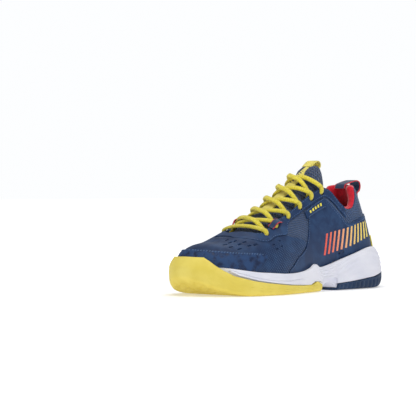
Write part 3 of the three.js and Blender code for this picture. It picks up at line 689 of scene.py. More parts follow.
def grid(mesh, start, end, steps, rows, cloth):
    """A flat grid in a blank mesh, with its places and its map set. Gives its points."""
    bm, s_of, t_of, uv = mesh
    made = bmesh.ops.create_grid(bm, x_segments=steps, y_segments=rows, size=1)["verts"]
    for vert in made:
        vert[s_of] = mix(start, end, (vert.co.x + 1) / 2)
        vert[t_of] = (vert.co.y + 1) / 2
    for face in {f for vert in made for f in vert.link_faces}:
        for loop in face.loops:
            along, up = cloth(loop.vert[s_of], loop.vert[t_of])
            loop[uv].uv = (along * MM, up * MM)
    return made


def loft(patches, rows, outer, inner, cloth):
    """A closed shell over patches (start, end, steps). outer, inner and cloth are functions of (s, t)."""
    mesh = blank()
    bm, s_of, t_of, _ = mesh
    for start, end, steps in patches:
        for vert in grid(mesh, start, end, steps, rows, cloth):
            vert.co = outer(vert[s_of], vert[t_of])
    bmesh.ops.remove_doubles(bm, verts=bm.verts, dist=0.02)
    made = bmesh.ops.extrude_face_region(bm, geom=bm.faces[:], use_keep_orig=True)["geom"]
    for vert in made:
        if isinstance(vert, bmesh.types.BMVert):
            vert.co = inner(vert[s_of], vert[t_of])
    face_outwards(bm)
    return bm


def skin_shell(start, end, low, high, faces, sides=(1, -1), cell=1.7, relief=None, rows=None):
    """A skin between the lines low and high, on one side of the foot or both."""
    if len(sides) == 1:
        spans = [(start, end)] if sides[0] > 0 else [(-end, -start)]
    elif start == 0:
        spans = [(-end, end)]
    elif end == 1:
        spans = [(start, 2 - start)]
    else:
        spans = [(start, end), (-end, -start)]
    patches = [(s, e, max(2, round((e - s) * HALF_OUTLINE / cell))) for s, e in spans]
    tallest = max(high(mix(start, end, k / 40)) - low(mix(start, end, k / 40)) for k in range(41))
    rows = rows or max(2, round(tallest * UP / cell))

    def height(w, t):
        _, a = around(w)
        return mix(low(a), high(a), t)

    def outer(w, t):
        side, a = around(w)
        v = height(w, t)
        extra = relief(side, a, v) if relief else 0
        return skin(side, a, v, faces[1] + extra)

    def inner(w, t):
        side, a = around(w)
        return skin(side, a, height(w, t), faces[0])

    def cloth(w, t):
        return w * HALF_OUTLINE, height(w, t) * UP

    return loft(patches, rows, outer, inner, cloth)


def tube(steps, sides, ring, cloth):
    """A closed bar: ring(f) gives the centre and the two half axes, and its section is a rounded flat."""
    mesh = blank()
    bm, s_of, t_of, _ = mesh
    rings = {}
    for vert in grid(mesh, 0, 1, steps, sides, cloth):
        f = vert[s_of]
        if f not in rings:
            rings[f] = ring(f)
        centre, half_across, half_up, power = rings[f]
        turn = vert[t_of] * 2 * math.pi
        c, s = math.cos(turn), math.sin(turn)
        flat = math.copysign(abs(c) ** power, c)
        tall = math.copysign(abs(s) ** power, s)
        vert.co = centre + half_across * flat + half_up * tall
    bmesh.ops.remove_doubles(bm, verts=bm.verts, dist=0.005)
    bmesh.ops.holes_fill(bm, edges=[e for e in bm.edges if e.is_boundary], sides=0)
    face_outwards(bm)
    return bm


def cut_with(obj, cutters):
    """Cuts the cutters' shapes out of a piece, for good."""
    tool = to_object(cutters, obj.name + "_cutter", None)
    modifier = obj.modifiers.new("holes", "BOOLEAN")
    modifier.operation = "DIFFERENCE"
    modifier.solver = "EXACT"
    modifier.object = tool
    obj.modifiers.move(len(obj.modifiers) - 1, 0)
    bpy.context.view_layer.update()
    shaped = bpy.data.meshes.new_from_object(obj.evaluated_get(bpy.context.evaluated_depsgraph_get()))
    old = obj.data
    obj.modifiers.clear()
    obj.data = shaped
    shaped.name = obj.name
    bpy.data.meshes.remove(old)
    bpy.data.objects.remove(tool)


def axes_at(side, a, v):
    """Along the foot, up the form and out of it, as the columns of a matrix."""
    out = normal(side, a, v)
    along = form(side, min(a + 0.005, 1), v) - form(side, max(a - 0.005, 0), v)
    along = (along - out * along.dot(out)).normalized()
    return Matrix((along, out.cross(along), out)).transposed()


def slot_cutters(places, length, width):
    """Rounded slots: each place is (side, station, height, slant)."""
    bm = bmesh.new()
    for side, a, v, slant in places:
        made = bmesh.ops.create_cone(
            bm, cap_ends=True, segments=12, radius1=width / 2, radius2=width / 2, depth=3,
        )["verts"]
        for vert in made:
            vert.co.x += math.copysign((length - width) / 2, vert.co.x)
        frame_at = axes_at(side, a, v) @ Matrix.Rotation(slant, 3, "Z")
        bmesh.ops.rotate(bm, cent=(0, 0, 0), matrix=frame_at, verts=made)
        bmesh.ops.translate(bm, vec=skin(side, a, v, 0.6), verts=made)
    return bm


def eyelet_cutters(size, reach):
    bm = bmesh.new()
    for side in (1, -1):
        for a, v in EYELETS:
            made = bmesh.ops.create_cone(
                bm, cap_ends=True, segments=20, radius1=size / 2, radius2=size / 2, depth=reach,
            )["verts"]
            bmesh.ops.rotate(bm, cent=(0, 0, 0), matrix=axes_at(side, a, v), verts=made)
            bmesh.ops.translate(bm, vec=skin(side, a, v, -1), verts=made)
    return bm


# ---- Sole ----
tread_line = through([
    (0, 11), (10, 5), (22, 1.2), (32, 0), (120, 0), (231, 0), (250, 3), (262, 8), (273, 14.5), (285, 23),
])
overhang = through([
    (0, OVERHANG_TOE), (0.1, mix(OVERHANG_SIDE, OVERHANG_TOE, 0.45)), (0.2, OVERHANG_SIDE),
    (0.5, OVERHANG_SIDE), (0.8, OVERHANG_SIDE), (0.93, mix(OVERHANG_SIDE, OVERHANG_HEEL, 0.6)),
    (1, OVERHANG_HEEL),
])
FRONT_END = 0.56
HEEL_START = 0.66
ARCH_RISE = 5.5
FLAT_EDGE = -12
front_rim = {
    1: runs([
        (0, 36.5), (0.06, 36), (0.09, 31), (0.12, 25), (0.15, 20), (0.21, 15), (0.26, 12.5), (0.35, 9.5),
        (0.44, 8), (0.5, 8), (0.53, 11), (0.56, 7.5),
    ]),
    -1: runs([
        (0, 36.5), (0.09, 35.5), (0.15, 32), (0.26, 29), (0.35, 27), (0.41, 22), (0.47, 14), (0.56, 7.5),
    ]),
}
heel_rim_line = runs([(0.66, 7), (0.74, 8.5), (0.86, 12), (0.92, 16), (1, 20)])
arch = runs([(0.56, 0), (0.6, 1), (0.62, 1), (0.66, 0)])
hug = trim[1] + FIT


@functools.lru_cache(maxsize=4000)
def outward(side, a):
    n = normal(side, a, 0)
    return Vector((n.x, n.y, 0)).normalized()


def sole_at(side, a, out, z=0.0):
    p = form(side, a, 0) + outward(side, a) * out
    p.z = z
    return p


def in_sole(side, a, out, share):
    centre = Vector((spine_x(a), spine_y(spine_x(a)), 0))
    return centre.lerp(sole_at(side, a, out), share)


def underside(p, lift):
    p.z = max(0, tread_line(p.x)) + lift
    return p


def v_at_height(side, a, z):
    low, crown = form(side, a, 0).z, form(side, a, 1).z
    return math.asin(clamp((z - low) / (crown - low), 0, 1) ** (fullness(a) / 2)) / (math.pi / 2)


def front_rim_at(side, a):
    return front_rim[side](a)


def heel_rim_at(_, a):
    return heel_rim_line(a)


@functools.lru_cache(maxsize=8000)
def rubber_rows(rim, side, a, inset):
    """Seven points of the rubber's face, from under the foot's middle out to its rim."""
    edge = overhang(a)
    rows = [underside(in_sole(side, a, edge - 3.5 - 0.4 * inset, k / 2), inset) for k in range(3)]
    low = underside(sole_at(side, a, edge - 0.6 - inset), 2.4 + 0.4 * inset)
    high = rim(side, a) if rim else 0
    cup = form(side, a, cup_top(a)).z
    above = smooth((high - cup - 1) / 4)
    shoulder = mix(mix(low.z, high, 0.7), min(cup + 2, high - 1), above)
    wrapped = skin(side, a, v_at_height(side, a, high), hug + RUBBER - inset)
    rows += [
        low,
        sole_at(side, a, edge - inset, mix(low.z, high, 0.45)),
        sole_at(side, a, mix(edge, OVERHANG_SIDE, above * 0.45) - inset, shoulder),
        sole_at(side, a, edge - inset, high).lerp(wrapped, above),
    ]
    return rows


def on_rows(rows, q, ease):
    """A point of a broken line through rows, with its corners eased."""
    if ease == 0:
        i = min(int(q), len(rows) - 2)
        return rows[i].lerp(rows[i + 1], q - i)
    shares = [-1, -0.5, 0, 0.5, 1]
    reach = min(ease, q, len(rows) - 1 - q)
    points = [on_rows(rows, q + reach * k, 0) for k in shares]
    return sum(points, Vector()) / len(shares)


def tread_depth(p):
    """Zigzag ribs and a long flex line down the middle, from 0 on a rib to 1 in a groove."""
    zig = abs((p.y / 14) % 2 - 1) * 9
    rib = abs(((p.x + zig) / 8) % 1 - 0.5) * 2
    flex = abs(p.y - spine_y(p.x))
    return max(smooth((0.42 - rib) / 0.16), smooth((1.9 - flex) / 0.8))


def wall_cloth(w, t):
    return w * HALF_OUTLINE, t * 90


def outsole(rim, start, end, side_marks):
    """Rubber from a place on the way round the foot to another."""
    steps = round((end - start) * HALF_OUTLINE / 1.25)
    tread_rows, wall_rows = 40, 26
    rows = tread_rows + wall_rows

    def q_at(t):
        k = t * rows
        return 2 * k / tread_rows if k < tread_rows else 2 + 4 * (k - tread_rows) / wall_rows

    def outer(w, t):
        side, a = around(w)
        q = q_at(t)
        p = on_rows(rubber_rows(rim, side, a, 0), q, 0.4 if q > 1.6 else 0)
        edge_fade = smooth((2 - q) / 0.12) * smooth((a - 0.01) / 0.02)
        end_fade = smooth((end - w) * 60) * smooth((w - start) * 60)
        p.z = max(p.z, max(0, tread_line(p.x))) + 1.1 * tread_depth(p) * edge_fade * end_fade
        if q > 2.4:
            p -= outward(side, a) * side_marks(side, a, q) * end_fade
        return p

    def inner(w, t):
        side, a = around(w)
        q = q_at(t)
        return on_rows(rubber_rows(rim, side, a, RUBBER), q, 0.2 if q > 1.8 else 0)

    return loft([(start, end, steps)], rows, outer, inner, wall_cloth)


def toe_marks(side, a, q):
    """Shallow dashes in two rows on the rubber's wall, and branching hollows on its inner side."""
    place = a * HALF_OUTLINE
    row = smooth(1 - abs(q - 3.55) / 0.28) + smooth(1 - abs(q - 4.3) / 0.24)
    dash = smooth((math.cos(place * 2 * math.pi / 9.5 + 4 * math.sin(q * 2)) - 0.35) / 0.3)
    marks = 0.45 * row * dash * smooth((a - 0.05) / 0.04)
    if side < 0:
        branch = abs(noise.noise(Vector((place / 13, q * 1.9, 4.1))))
        reach = smooth((a - 0.1) / 0.05) * smooth((5.7 - q) / 0.4)
        marks = max(marks, 0.8 * smooth((0.1 - branch) / 0.07) * reach)
    return marks


def heel_marks(_, a, q):
    """Upright ribs round the heel's wall."""
    wave = math.cos(a * HALF_OUTLINE * 2 * math.pi / 6.5)
    return 0.9 * smooth((wave - 0.1) / 0.5) * smooth((q - 2.4) / 0.5) * smooth((5.4 - q) / 0.5)


@functools.lru_cache(maxsize=8000)
def foam_rows(side, a):
    """The midsole's outer and inner faces, eight points each from the middle out and up."""
    inset = RUBBER + FIT
    rubber = rubber_rows(None, side, a, inset)
    top = skin(side, a, cup_top(a), hug + CUP_WALL)
    edge = overhang(a)
    near = [clamp(a + d, 0, 1) for d in (-0.015, 0, 0.015)]
    if a < FRONT_END + 0.008:
        step = max(front_rim[side](b) for b in near) + FIT
    elif a > HEEL_START - 0.008:
        step = max(heel_rim_line(b) for b in near) + FIT
    else:
        step = front_rim[side](FRONT_END) + ARCH_RISE
    outer = []
    for p in rubber[:4]:
        outer.append(p + Vector((0, 0, ARCH_RISE * arch(a))))
    covered = step > top.z - 2
    if covered:
        out = mix(edge, OVERHANG_SIDE, 0.5) - inset - 0.2
        outer += [sole_at(side, a, out, mix(rubber[3].z, top.z - 1.5, f)) for f in (0.9, 0.96, 1)]
        outer.append(skin(side, a, cup_top(a), min(hug + CUP_WALL, edge - inset - FIT)))
    else:
        outer += [
            sole_at(side, a, edge - inset, step),
            sole_at(side, a, edge, step),
            sole_at(side, a, mix(edge, hug + CUP_WALL, 0.35), mix(step, top.z, 0.6)),
            top,
        ]
    drop = SHANK + 2 * FIT if 0.38 < a < 0.8 else FIT
    inner = []
    for k in range(3):
        p = in_sole(side, a, FLAT_EDGE, k / 2)
        p.z = feather_z(p.x) - drop
        inner.append(p)
    corner_in = sole_at(side, a, FLAT_EDGE + 1.5)
    corner_in.z = feather_z(corner_in.x) - FIT
    corner = sole_at(side, a, hug, form(side, a, 0).z - FIT)
    lip = skin(side, a, cup_top(a), hug)
    inner += [corner_in] + [corner.lerp(lip, k / 3) for k in (1, 2, 3)]
    inner.insert(4, corner)
    return outer, inner, covered


def midsole():
    wall_rows = 30
    rows = 5 + wall_rows

    def q_at(t):
        k = t * rows
        return k if k < 5 else 5 + 2 * (k - 5) / wall_rows

    def outer(w, t):
        side, a = around(w)
        points, _, covered = foam_rows(side, a)
        q = q_at(t)
        p = on_rows(points, q, 0)
        if q > 5 and not covered:
            eased = on_rows(points[5:], q - 5, 0.5)
            rise = (q - 5) / 2
            wave = 0.5 * math.sin(9 * rise * math.pi + 5 * math.sin(a * 14))
            fade = smooth(rise / 0.12) * smooth((1 - rise) / 0.2) * smooth((a - 0.5) / 0.06)
            groove = smooth(1 - abs(rise - 0.3 - 0.12 * math.sin(a * 17)) / 0.05) * 0.8
            front = smooth((0.5 - a) / 0.1) * smooth(rise / 0.1) * smooth((1 - rise) / 0.2)
            p = eased - outward(side, a) * (0.7 * wave * fade + groove * front)
        return p

    def inner(w, t):
        side, a = around(w)
        q = q_at(t)
        return on_rows(foam_rows(side, a)[1], q, 0)

    steps = round(2 * HALF_OUTLINE / 1.5)
    return loft([(-1, 1, steps)], rows, outer, inner, wall_cloth)


def sockliner():
    rim = lining_back - 2 * FIT - 0.3
    rows = 16
    low = STROBEL + FIT

    def spot(w, t, lift, inset):
        side, a = around(w)
        p = in_sole(side, a, rim - inset, t)
        inside = in_sole(side, a, FLAT_EDGE, 1)
        flat_z = feather_z(inside.x)
        edge_z = feather_z(form(side, a, 0).x)
        p.z = mix(feather_z(p.x), mix(flat_z, edge_z, 0.5), smooth(t)) + lift
        return p

    def outer(w, t):
        crown = SOCKLINER * (1 - 0.35 * smooth((t - 0.85) / 0.15))
        dimple = 0.9 * (1 - t) ** 2 * smooth((abs(w) - 0.7) / 0.15)
        return spot(w, t, low + crown - dimple, 1.6 * smooth((t - 0.9) / 0.1))

    def inner(w, t):
        return spot(w, t, low, 0)

    def cloth(w, t):
        p = spot(w, t, 0, 0)
        return p.x, p.y

    return loft([(-1, 1, 360)], rows, outer, inner, cloth)


# ---- Collar and tongue ----
COLLAR_FRONT = 0.66
PAD = 5.6
PAD_DEPTH = 23
pad_face = collar_face - PAD
wrap_depth = pad_face - FIT - 0.1
wrap_outer = [
    (0.4, knit[1] - 0.45), (2.3, collar_face + 0.7), (3.6, collar_face - 2), (2.7, pad_face - 0.2),
    (-3, wrap_depth - 1), (-13.8, wrap_depth - 0.8), (-PAD_DEPTH - 2.7, collar_face - 4.45),
]
wrap_back = [(mix(0.4, -PAD_DEPTH - 2.5, k / 6), collar_face + 0.2) for k in range(7)]


def collar():
    """The padded collar: its red cloth comes over the top edge and down inside, over the foam."""
    rows = 30

    def section_point(points, w, t):
        side, a = around(w)
        place = on_rows([Vector((past, depth, 0)) for past, depth in points], t * 6, 0.6)
        v = top_line(a)
        return skin(side, a, v + place.x * per_millimetre(side, a, v), place.y)

    def outer(w, t):
        side, a = around(w)
        p = section_point(wrap_outer, w, t)
        fold = noise.noise(Vector((a * 22, side * 3, t * 5)))
        creased = smooth((t - 0.25) / 0.2) * smooth((1 - t) / 0.1)
        return p + normal(side, a, top_line(a)) * (0.35 * fold * creased)

    def inner(w, t):
        return section_point(wrap_back, w, t)

    def cloth(w, t):
        return w * HALF_OUTLINE, t * 45

    steps = round(2 * (1 - COLLAR_FRONT) * HALF_OUTLINE / 1.3)
    return loft([(COLLAR_FRONT, 2 - COLLAR_FRONT, steps)], rows, outer, inner, cloth)


TONGUE_FRONT = 0.262
TONGUE_TOP = 0.656
TONGUE_DEEP = 2 * TONGUE_SKIN + FIT + TONGUE_FOAM + 2 * LAP


def tongue_face(a, v):
    swell = smooth((v - 0.6) / 0.3) * smooth((a - 0.3) / 0.05)
    return mix(TONGUE_LOW, TONGUE_HIGH, swell)


def tongue():
    """One padded tongue, thin at its edges, with round shoulders at the top."""
    steps, rows = 190, 64

    def where(s, t):
        side = 1 if t >= 0.5 else -1
        out = abs(2 * t - 1)
        sweep = 0.026 * smooth(out / 0.45) * (1 - 0.45 * smooth((out - 0.7) / 0.3)) * smooth((s - 0.8) / 0.2)
        a = mix(TONGUE_FRONT, TONGUE_TOP + 0.004, s) + sweep
        return side, a, mix(1, tongue_side(a), out), out

    def plump(s, out):
        edge = min((1 - out) / 0.14, (1 - s) / 0.05, 1)
        return math.sqrt(1 - (1 - clamp(edge, 0, 1)) ** 2)

    def outer(s, t):
        side, a, v, out = where(s, t)
        quilt = 0.35 * math.cos(out * 9) * smooth((a - 0.6) / 0.03) * smooth((1 - out) / 0.2)
        sink = 0.5 * TONGUE_DEEP * (1 - plump(s, out))
        puff = 4.2 * smooth((a - 0.6) / 0.04) * smooth(out / 0.3) * smooth((0.95 - out) / 0.45)
        return skin(side, a, v, tongue_face(a, v) - 0.3 - sink - 0.3 * quilt + puff)

    def inner(s, t):
        side, a, v, out = where(s, t)
        sink = 0.45 * TONGUE_DEEP * (1 - plump(s, out))
        return skin(side, a, v, tongue_face(a, v) - TONGUE_DEEP + sink)

    def cloth(s, t):
        return mix(-34, 34, t), where(s, t)[1] * 340

    return loft([(0, 1, steps)], rows, outer, inner, cloth)


STRAP_SIDE = 1 - STRAP_WIDTH * 0.0085


def strap():
    low, high = 0.44, 0.655

    def at(s, t, lift):
        side = 1 if t >= 0.5 else -1
        a = mix(low, high, s)
        v = mix(1, STRAP_SIDE, abs(2 * t - 1))
        return skin(side, a, v, tongue_face(a, v) + FIT + lift)

    def cloth(s, t):
        return s * 75, (t - 0.5) * STRAP_WIDTH

    return loft([(0, 1, 80)], 10, lambda s, t: at(s, t, WEBBING), lambda s, t: at(s, t, -0.3), cloth)


# ---- Lacing and webbing ----
def crossing(side, i, middle):
    (a0, v0), (a1, v1) = EYELETS[i], EYELETS[i + 1]
    sag = 0.008 + 0.0055 * i  # towards the toe, over the middle of the tongue

    def rise(f, share):
        return mix(a0 + 0.01, a1 - 0.003, f) - sag * share

    return [
        (side, a0 + 0.002, v0 + 0.03, UNDER - 0.1),
        (side, rise(0.05, 0.1), top_line(a0) + 0.03, UNDER + 0.5),
        (side, rise(0.24, 0.75), 0.83, middle - 1.1),
        (side, rise(0.5, 1), 1, middle),
        (-side, rise(0.76, 0.75), 0.83, mix(middle, OVER, 0.4)),
        (-side, a1 - 0.002, top_line(a1) + 0.02, OVER - 0.1),
        (-side, a1, v1 + 0.034, OVER),
        (-side, a1, v1 + 0.004, -0.2),
        (-side, a1, v1 + 0.006, knit[0] + 0.2),
    ]


def lace_chain(side):
    points = []
    for i in range(len(EYELETS) - 1):
        start = -side if i % 2 else side
        points += crossing(start, i, HIGH_CROSS if start > 0 else LOW_CROSS)
    last, a, v, _ = points[-1]
    return points + [(last, a, v - 0.03, UNDER), (last, a, v - 0.055, UNDER)]


def lace_route():
    a, v = EYELETS[0]

    def ahead(side):
        return [
            (side, a, v + 0.006, knit[0] + 0.2),
            (side, a, v + 0.004, -0.2),
            (side, a - 0.001, v + 0.034, OVER),
            (side, a - 0.003, top_line(a) + 0.02, OVER - 0.2),
            (side, a - 0.006, 0.82, -0.6),
        ]

    middle = [(1, a - 0.008, 1, LOW_CROSS - WEBBING)]
    return lace_chain(1)[::-1] + ahead(1) + middle + ahead(-1)[::-1] + lace_chain(-1)


def lace():
    route = lace_route()
    knots = [skin(*place) for place in route]
    aims = [(form(s, a + 0.01, v) - form(s, a - 0.01, v)).normalized() for s, a, v, _ in route]
    path = spline(knots)
    steps = (len(route) - 1) * 7
    spans = len(route) - 1

    def ring(f):
        place = f * spans
        k = min(int(place), spans - 1)
        ahead = (path(min(f + 0.0008, 1)) - path(max(f - 0.0008, 0))).normalized()
        across = aims[k].lerp(aims[k + 1], place - k)
        across = (across - ahead * across.dot(ahead)).normalized()
        up = ahead.cross(across)
        return path(f), across * (LACE_WIDTH / 2 + 0.35), up * (LACE_THICK / 2 + 0.25), 0.85

    def cloth(f, t):
        return f * 820, t * 2 * (LACE_WIDTH + LACE_THICK)

    return tube(steps, 18, ring, cloth)


def ribbon(points, y, width):
    """Webbing along a smooth path in an upright plane."""
    path = spline([Vector((x, y, z)) for x, z in points])
    length = sum((Vector(q) - Vector(p)).length for p, q in zip(points, points[1:]))

    def ring(f):
        ahead = (path(min(f + 0.004, 1)) - path(max(f - 0.004, 0))).normalized()
        side = Vector((0, 1, 0))
        return path(f), side * width / 2, ahead.cross(side) * WEBBING / 2, 0.35

    def cloth(f, t):
        return f * length, math.cos(t * 2 * math.pi) * width / 2

    return tube(90, 28, ring, cloth)


def tongue_pull():
    start = skin(1, TONGUE_TOP, 1, TONGUE_HIGH + FIT + WEBBING / 2)
    back = skin(1, TONGUE_TOP - 0.02, 1, TONGUE_HIGH + FIT + WEBBING / 2)
    run = start - back
    run.y = 0
    run.normalize()
    out = Vector((run.z, 0, -run.x))
    path = [(0.4, 0), (5, 0.4), (10, 0.3), (13, -1.2), (14, -4), (12.6, -7), (7, -8.3), (0.6, -8.2)]
    points = [start + run * along + out * lift for along, lift in path]
    return ribbon([(p.x, p.z) for p in points], start.y, STRAP_WIDTH)


def heel_pull():
    def at(past, depth):
        return skin(1, 1, 0.475 + past * per_millimetre(1, 1, 0.475), depth)

    crest = at(3.6, collar_face - 2)
    root = at(-11, trim[1] + LAP + WEBBING / 2)
    foot_end = at(-14, trim[1] + LAP + WEBBING / 2)
    rises = [
        (6.5, -4), (5, -0.4), (0, WEBBING + 0.2), (-7, 3), (-14, 4), (-18, 2.2), (-19.2, -2.5), (-17.5, -6.6),
    ]
    points = [(crest.x + x, crest.z + z) for x, z in rises]
    points += [
        (mix(root.x, crest.x - 17.5, 0.4), root.z + 1.8),
        (root.x - 0.9, root.z + 0.6),
        (foot_end.x, foot_end.z),
    ]
    return ribbon(points, root.y, PULL_WIDTH)


KEEPER_HALF = 3.2  # half its width


def lace_keeper(side):
    a, v = EYELETS[1][0], EYELETS[1][1] + 0.03
    reach = LACE_WIDTH / 2 + FIT
    high = OVER + LACE_THICK / 2 + FIT
    half = [(reach - 0.2, high), (reach + 2.4, 0.4 * high), (reach + 5, FIT)]
    arc = [(-along, depth) for along, depth in half[::-1]] + half
    middle = spline([skin(side, a + along / HALF_OUTLINE, v, depth + WEBBING / 2) for along, depth in arc])
    up = axes_at(side, a, v).col[1]

    def ring(f):
        ahead = (middle(min(f + 0.01, 1)) - middle(max(f - 0.01, 0))).normalized()
        return middle(f), up * KEEPER_HALF, ahead.cross(up) * WEBBING / 2, 0.4

    def cloth(f, t):
        return f * 20, math.cos(t * 2 * math.pi) * KEEPER_HALF

    return tube(40, 20, ring, cloth)


# ---- Stitches and printed marks ----
def stitches(lines, pitch=2.6):
    """Short threads along lines: each line is (side, start, end, height, depth)."""
    bm = bmesh.new()
    for side, start, end, height, depth in lines:
        count = 240
        places = [mix(start, end, k / count) for k in range(count + 1)]
        points = [form(side, a, height(a)) for a in places]
        travelled = 0
        for k in range(count):
            travelled += (points[k + 1] - points[k]).length
            if travelled < pitch:
                continue
            travelled = 0
            a = places[k]
            out = normal(side, a, height(a))
            ahead = (points[k + 1] - points[k]).normalized()
            ahead = (ahead - out * ahead.dot(out)).normalized()
            made = bmesh.ops.create_uvsphere(bm, u_segments=6, v_segments=4, radius=1)["verts"]
            bmesh.ops.scale(bm, vec=(0.95, 0.3, 0.26), verts=made)
            turn = Matrix((ahead, out.cross(ahead), out)).transposed()
            bmesh.ops.rotate(bm, cent=(0, 0, 0), matrix=turn, verts=made)
            bmesh.ops.translate(bm, vec=points[k] + out * (depth + 0.08), verts=made)
    return bm


def offset(line, millimetres):
    return lambda a: line(a) + millimetres / UP


def film_bars():
    """A row of plain slanted bars on the outer quarter, each thin and raised a little."""
    whole = bmesh.new()
    for k in range(12):
        place = 0.602 + 0.0235 * k
        low = 0.085 + 0.0075 * k
        high = 0.225 + 0.003 * k

        def face(w, t, depth):
            v = mix(low, high, t)
            return skin(1, w + 0.16 * (v - low), v, depth)

        bar = loft(
            [(place, place + 0.0095, 3)], 16, lambda w, t: face(w, t, 0.16), lambda w, t: face(w, t, -0.1),
            lambda w, t: (w * HALF_OUTLINE, t * 20),
        )
        add_to(whole, bar)
    return whole


def add_to(whole, part):
    mesh = bpy.data.meshes.new("part")
    part.to_mesh(mesh)
    part.free()
    whole.from_mesh(mesh)
    bpy.data.meshes.remove(mesh)


def label_marks():
    """Five plain blocks in a row on the side label."""
    whole = bmesh.new()
    for k in range(5):
        start = 0.552 + 0.015 * k
        low, high = level(0.436), level(0.461)
        add_to(whole, skin_shell(start, start + 0.008, low, high, (1.15, 1.36), sides=(1,), cell=1.2, rows=3))
    return whole


# ---- The shoe ----
SOFT_EDGE = 0.22  # of the trims


def piece(bm, name, finish, slot, *nodes, body="shoe", bevel=0.0):
    return to_object(bm, name, finish, body=body, stands_for=nodes, bevel=bevel)


def make_sole():
    yellow = rubber_finish("front_rubber", (0.76, 0.61, 0.10), (0.85, 0.71, 0.16), 1, 0.62)
    slate = rubber_finish("heel_rubber", (0.008, 0.026, 0.07), (0.016, 0.045, 0.11), 0.2, 0.55)
    front = outsole(front_rim_at, -FRONT_END, FRONT_END, toe_marks)
    piece(front, "front_outsole", yellow, "front_rubber", "outsole_front")
    heel = outsole(heel_rim_at, HEEL_START, 2 - HEEL_START, heel_marks)
    piece(heel, "heel_outsole", slate, "heel_rubber", "outsole_heel")
    piece(midsole(), "foam_midsole", foam_finish(), "midsole_foam", "midsole")
    cloth = brushed_finish("sockliner_cloth", (0.012, 0.03, 0.085), (0.025, 0.06, 0.14))
    piece(sockliner(), "cushioned_sockliner", cloth, "sockliner_cloth", "sockliner")


def make_upper():
    knitted = knit_finish()
    synthetic = synthetic_finish()
    guard = guard_finish()

    shell = skin_shell(0, 1, level(0), top_line, knit)
    upper = piece(shell, "knitted_upper", knitted, "mesh_cloth", "upper_mesh")
    cut_with(upper, eyelet_cutters(EYELET - 1.2, 9))

    vamp = skin_shell(0, 0.5, vamp_foot, vamp_top, overlay, cell=1.5)
    vamp = piece(vamp, "vamp_overlay_skin", vamp_finish(), "overlay_synthetic", "vamp_overlay")
    slits = [
        (0.203, 0.848), (0.215, 0.725), (0.235, 0.622), (0.192, 0.735), (0.214, 0.614), (0.239, 0.519),
        (0.160, 0.704), (0.173, 0.590), (0.263, 0.50), (0.197, 0.50),
    ]
    places = [(side, a, v, 0.15 * side) for side in (1, -1) for a, v in slits]
    cut_with(vamp, slot_cutters(places, 5.2, 1.7))
    spots = [(0.328, 0.397), (0.36, 0.406), (0.36, 0.336), (0.335, 0.33)]
    holes = [(side, a, v, 0) for side in (1, -1) for a, v in spots]
    cut_with(vamp, slot_cutters(holes, 3.2, 2))

    stay = skin_shell(0.235, 0.74, stay_line, top_line, overlay, cell=1.3)
    stay = piece(stay, "eyestay_skin", synthetic, "overlay_synthetic", "eyestay")
    cut_with(stay, eyelet_cutters(EYELET - 1.2, 6))

    for side, name in ((1, "lateral"), (-1, "medial")):
        quarter = skin_shell(0.38, 0.9994, level(0.01), quarter_top, overlay, sides=(side,), cell=1.5)
        quarter = piece(
            quarter, f"quarter_{name}", synthetic, "overlay_synthetic", f"quarter_overlay_{name}",
        )
        vents = [
            (0.689, 0.092), (0.711, 0.102), (0.742, 0.079), (0.722, 0.068), (0.699, 0.057), (0.676, 0.046),
            (0.653, 0.038),
        ]
        cut_with(quarter, slot_cutters([(side, a, v, 0.4) for a, v in vents], 2.8, 1.9))

    toe = skin_shell(0, 0.28, guard_foot, guard_top, trim, cell=1.3)
    piece(toe, "toe_guard_skin", guard, "guard_synthetic", "toe_guard", bevel=SOFT_EDGE)
    stay_back = skin_shell(0.96, 1, level(0.19), level(0.455), trim)
    piece(stay_back, "backstay_skin", guard, "guard_synthetic", "heel_backstay", bevel=SOFT_EDGE)
    wedge = plain_finish("wedge_plastic", (0.82, 0.68, 0.06), (0.88, 0.75, 0.1), 0.42)
    heel = skin_shell(0.92, 1, level(0.02), level(0.17), trim)
    piece(heel, "wedge_skin", wedge, "wedge_plastic", "heel_wedge", bevel=SOFT_EDGE)
    film = plain_finish("label_film", (0.010, 0.03, 0.09), (0.016, 0.045, 0.12), 0.35)
    label = skin_shell(0.53, 0.64, level(0.41), level(0.485), trim, sides=(1,), cell=1)
    piece(label, "side_label_skin", film, "label", "side_label", bevel=SOFT_EDGE)
    print_yellow = plain_finish("label_print", (0.8, 0.68, 0.06), (0.86, 0.74, 0.09), 0.4)
    piece(label_marks(), "label_bars", print_yellow, "label")
    piece(film_bars(), "quarter_bars", bars_finish(), "overlay_synthetic")

    lines = []
    for side in (1, -1):
        lines += [
            (side, 0.27, 0.735, offset(stay_line, 1.6), 0),
            (side, 0.3, 0.73, offset(top_line, -1.8), 0),
            (side, 0.0, 0.27, offset(guard_top, -1.4), trim[1]),
            (side, 0.0, 0.262, offset(guard_top, -3.2), trim[1]),
            (side, 0.51, 0.555, offset(quarter_top, -1.6), 0),
            (side, 0.645, 0.95, offset(quarter_top, -1.6), 0),
            (side, 0.385, 0.5, offset(quarter_top, -1.4), 0),
            (side, 0.74, 0.955, offset(top_line, -2.4), knit[1]),
        ]
    lines += [(1, 0.535, 0.635, level(0.417), trim[1]), (1, 0.535, 0.635, level(0.478), trim[1])]
    piece(stitches(lines), "upper_stitching", thread_finish(), "overlay_synthetic")


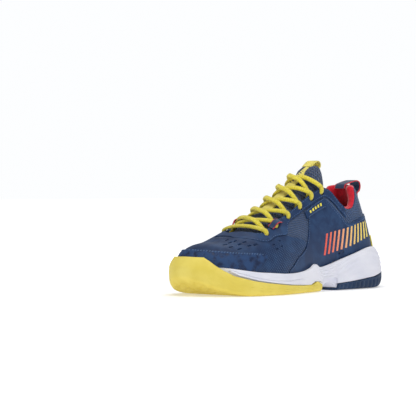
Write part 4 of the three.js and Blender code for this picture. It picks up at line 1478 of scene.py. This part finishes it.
def make_padding():
    red = brushed_finish("collar_cloth", (0.52, 0.004, 0.02), RED)
    padded = piece(collar(), "padded_collar", red, "collar_cloth", "collar_lining", "collar_foam")
    layers = ["cover", "foam", "lining"]
    nodes = [f"tongue_{layer}" for layer in layers] + [f"tongue_flap_{layer}" for layer in layers]
    pad = piece(tongue(), "padded_tongue", spacer_finish(), "tongue_cloth", *nodes, body=None)
    tape = tape_finish("strap_tape", (0.86, 0.74, 0.12), PALE_YELLOW, marks=strap_marks)
    straps = ["tongue_strap", "tongue_flap_strap"]
    band = piece(strap(), "tongue_tape", tape, "strap_cloth", *straps, body=None, bevel=0.2)
    start = skin(1, 0.606, 1, TONGUE_HIGH) * MM + ORIGIN
    end = skin(1, 0.64, 1, TONGUE_HIGH) * MM + ORIGIN
    for bending in (pad, band):
        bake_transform(bending)


def make_lacing():
    braid = lace_finish()
    piece(lace(), "braided_lace", braid, "lace_cloth", "lace")
    dark, light = (0.008, 0.024, 0.075), (0.018, 0.05, 0.13)
    webbing = tape_finish("edged_webbing", dark, light, edge=RED, half_width=7)
    narrow = tape_finish("keeper_webbing", dark, light, edge=RED, half_width=4.9)
    for side, name in ((1, "lateral"), (-1, "medial")):
        piece(lace_keeper(side), f"keeper_{name}", narrow, "webbing", f"lace_keeper_{name}")
    piece(heel_pull(), "heel_loop", webbing, "webbing", "heel_pull", body="heel_pull")
    tape = tape_finish("loop_tape", (0.84, 0.70, 0.08), PALE_YELLOW)
    piece(tongue_pull(), "tongue_loop", tape, "pull_cloth", "tongue_pull", body="tongue_pull")


def dress_hidden_parts():
    """The solids inside the shoe keep their own shapes."""
    looks = {
        "shank_plate": plain_finish("shank_nylon", (0.012, 0.013, 0.016), (0.03, 0.032, 0.036), 0.4),
        "strobel_board": plain_finish("board_fibre", (0.5, 0.46, 0.38), (0.62, 0.57, 0.48), 0.9),
        "toe_puff": plain_finish("puff_sheet", (0.62, 0.58, 0.5), (0.72, 0.68, 0.6), 0.7),
        "inner_lining": brushed_finish("lining_cloth", (0.10, 0.11, 0.14), (0.2, 0.22, 0.26)),
    }
    looks["heel_counter"] = looks["toe_puff"]
    for node, finish in looks.items():
        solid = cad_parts[node]
        solid.data.materials.clear()
        solid.data.materials.append(finish.material)


set_camera()
set_studio()
make_sole()
make_upper()
make_padding()
make_lacing()
dress_hidden_parts()

bpy.context.view_layer.update()
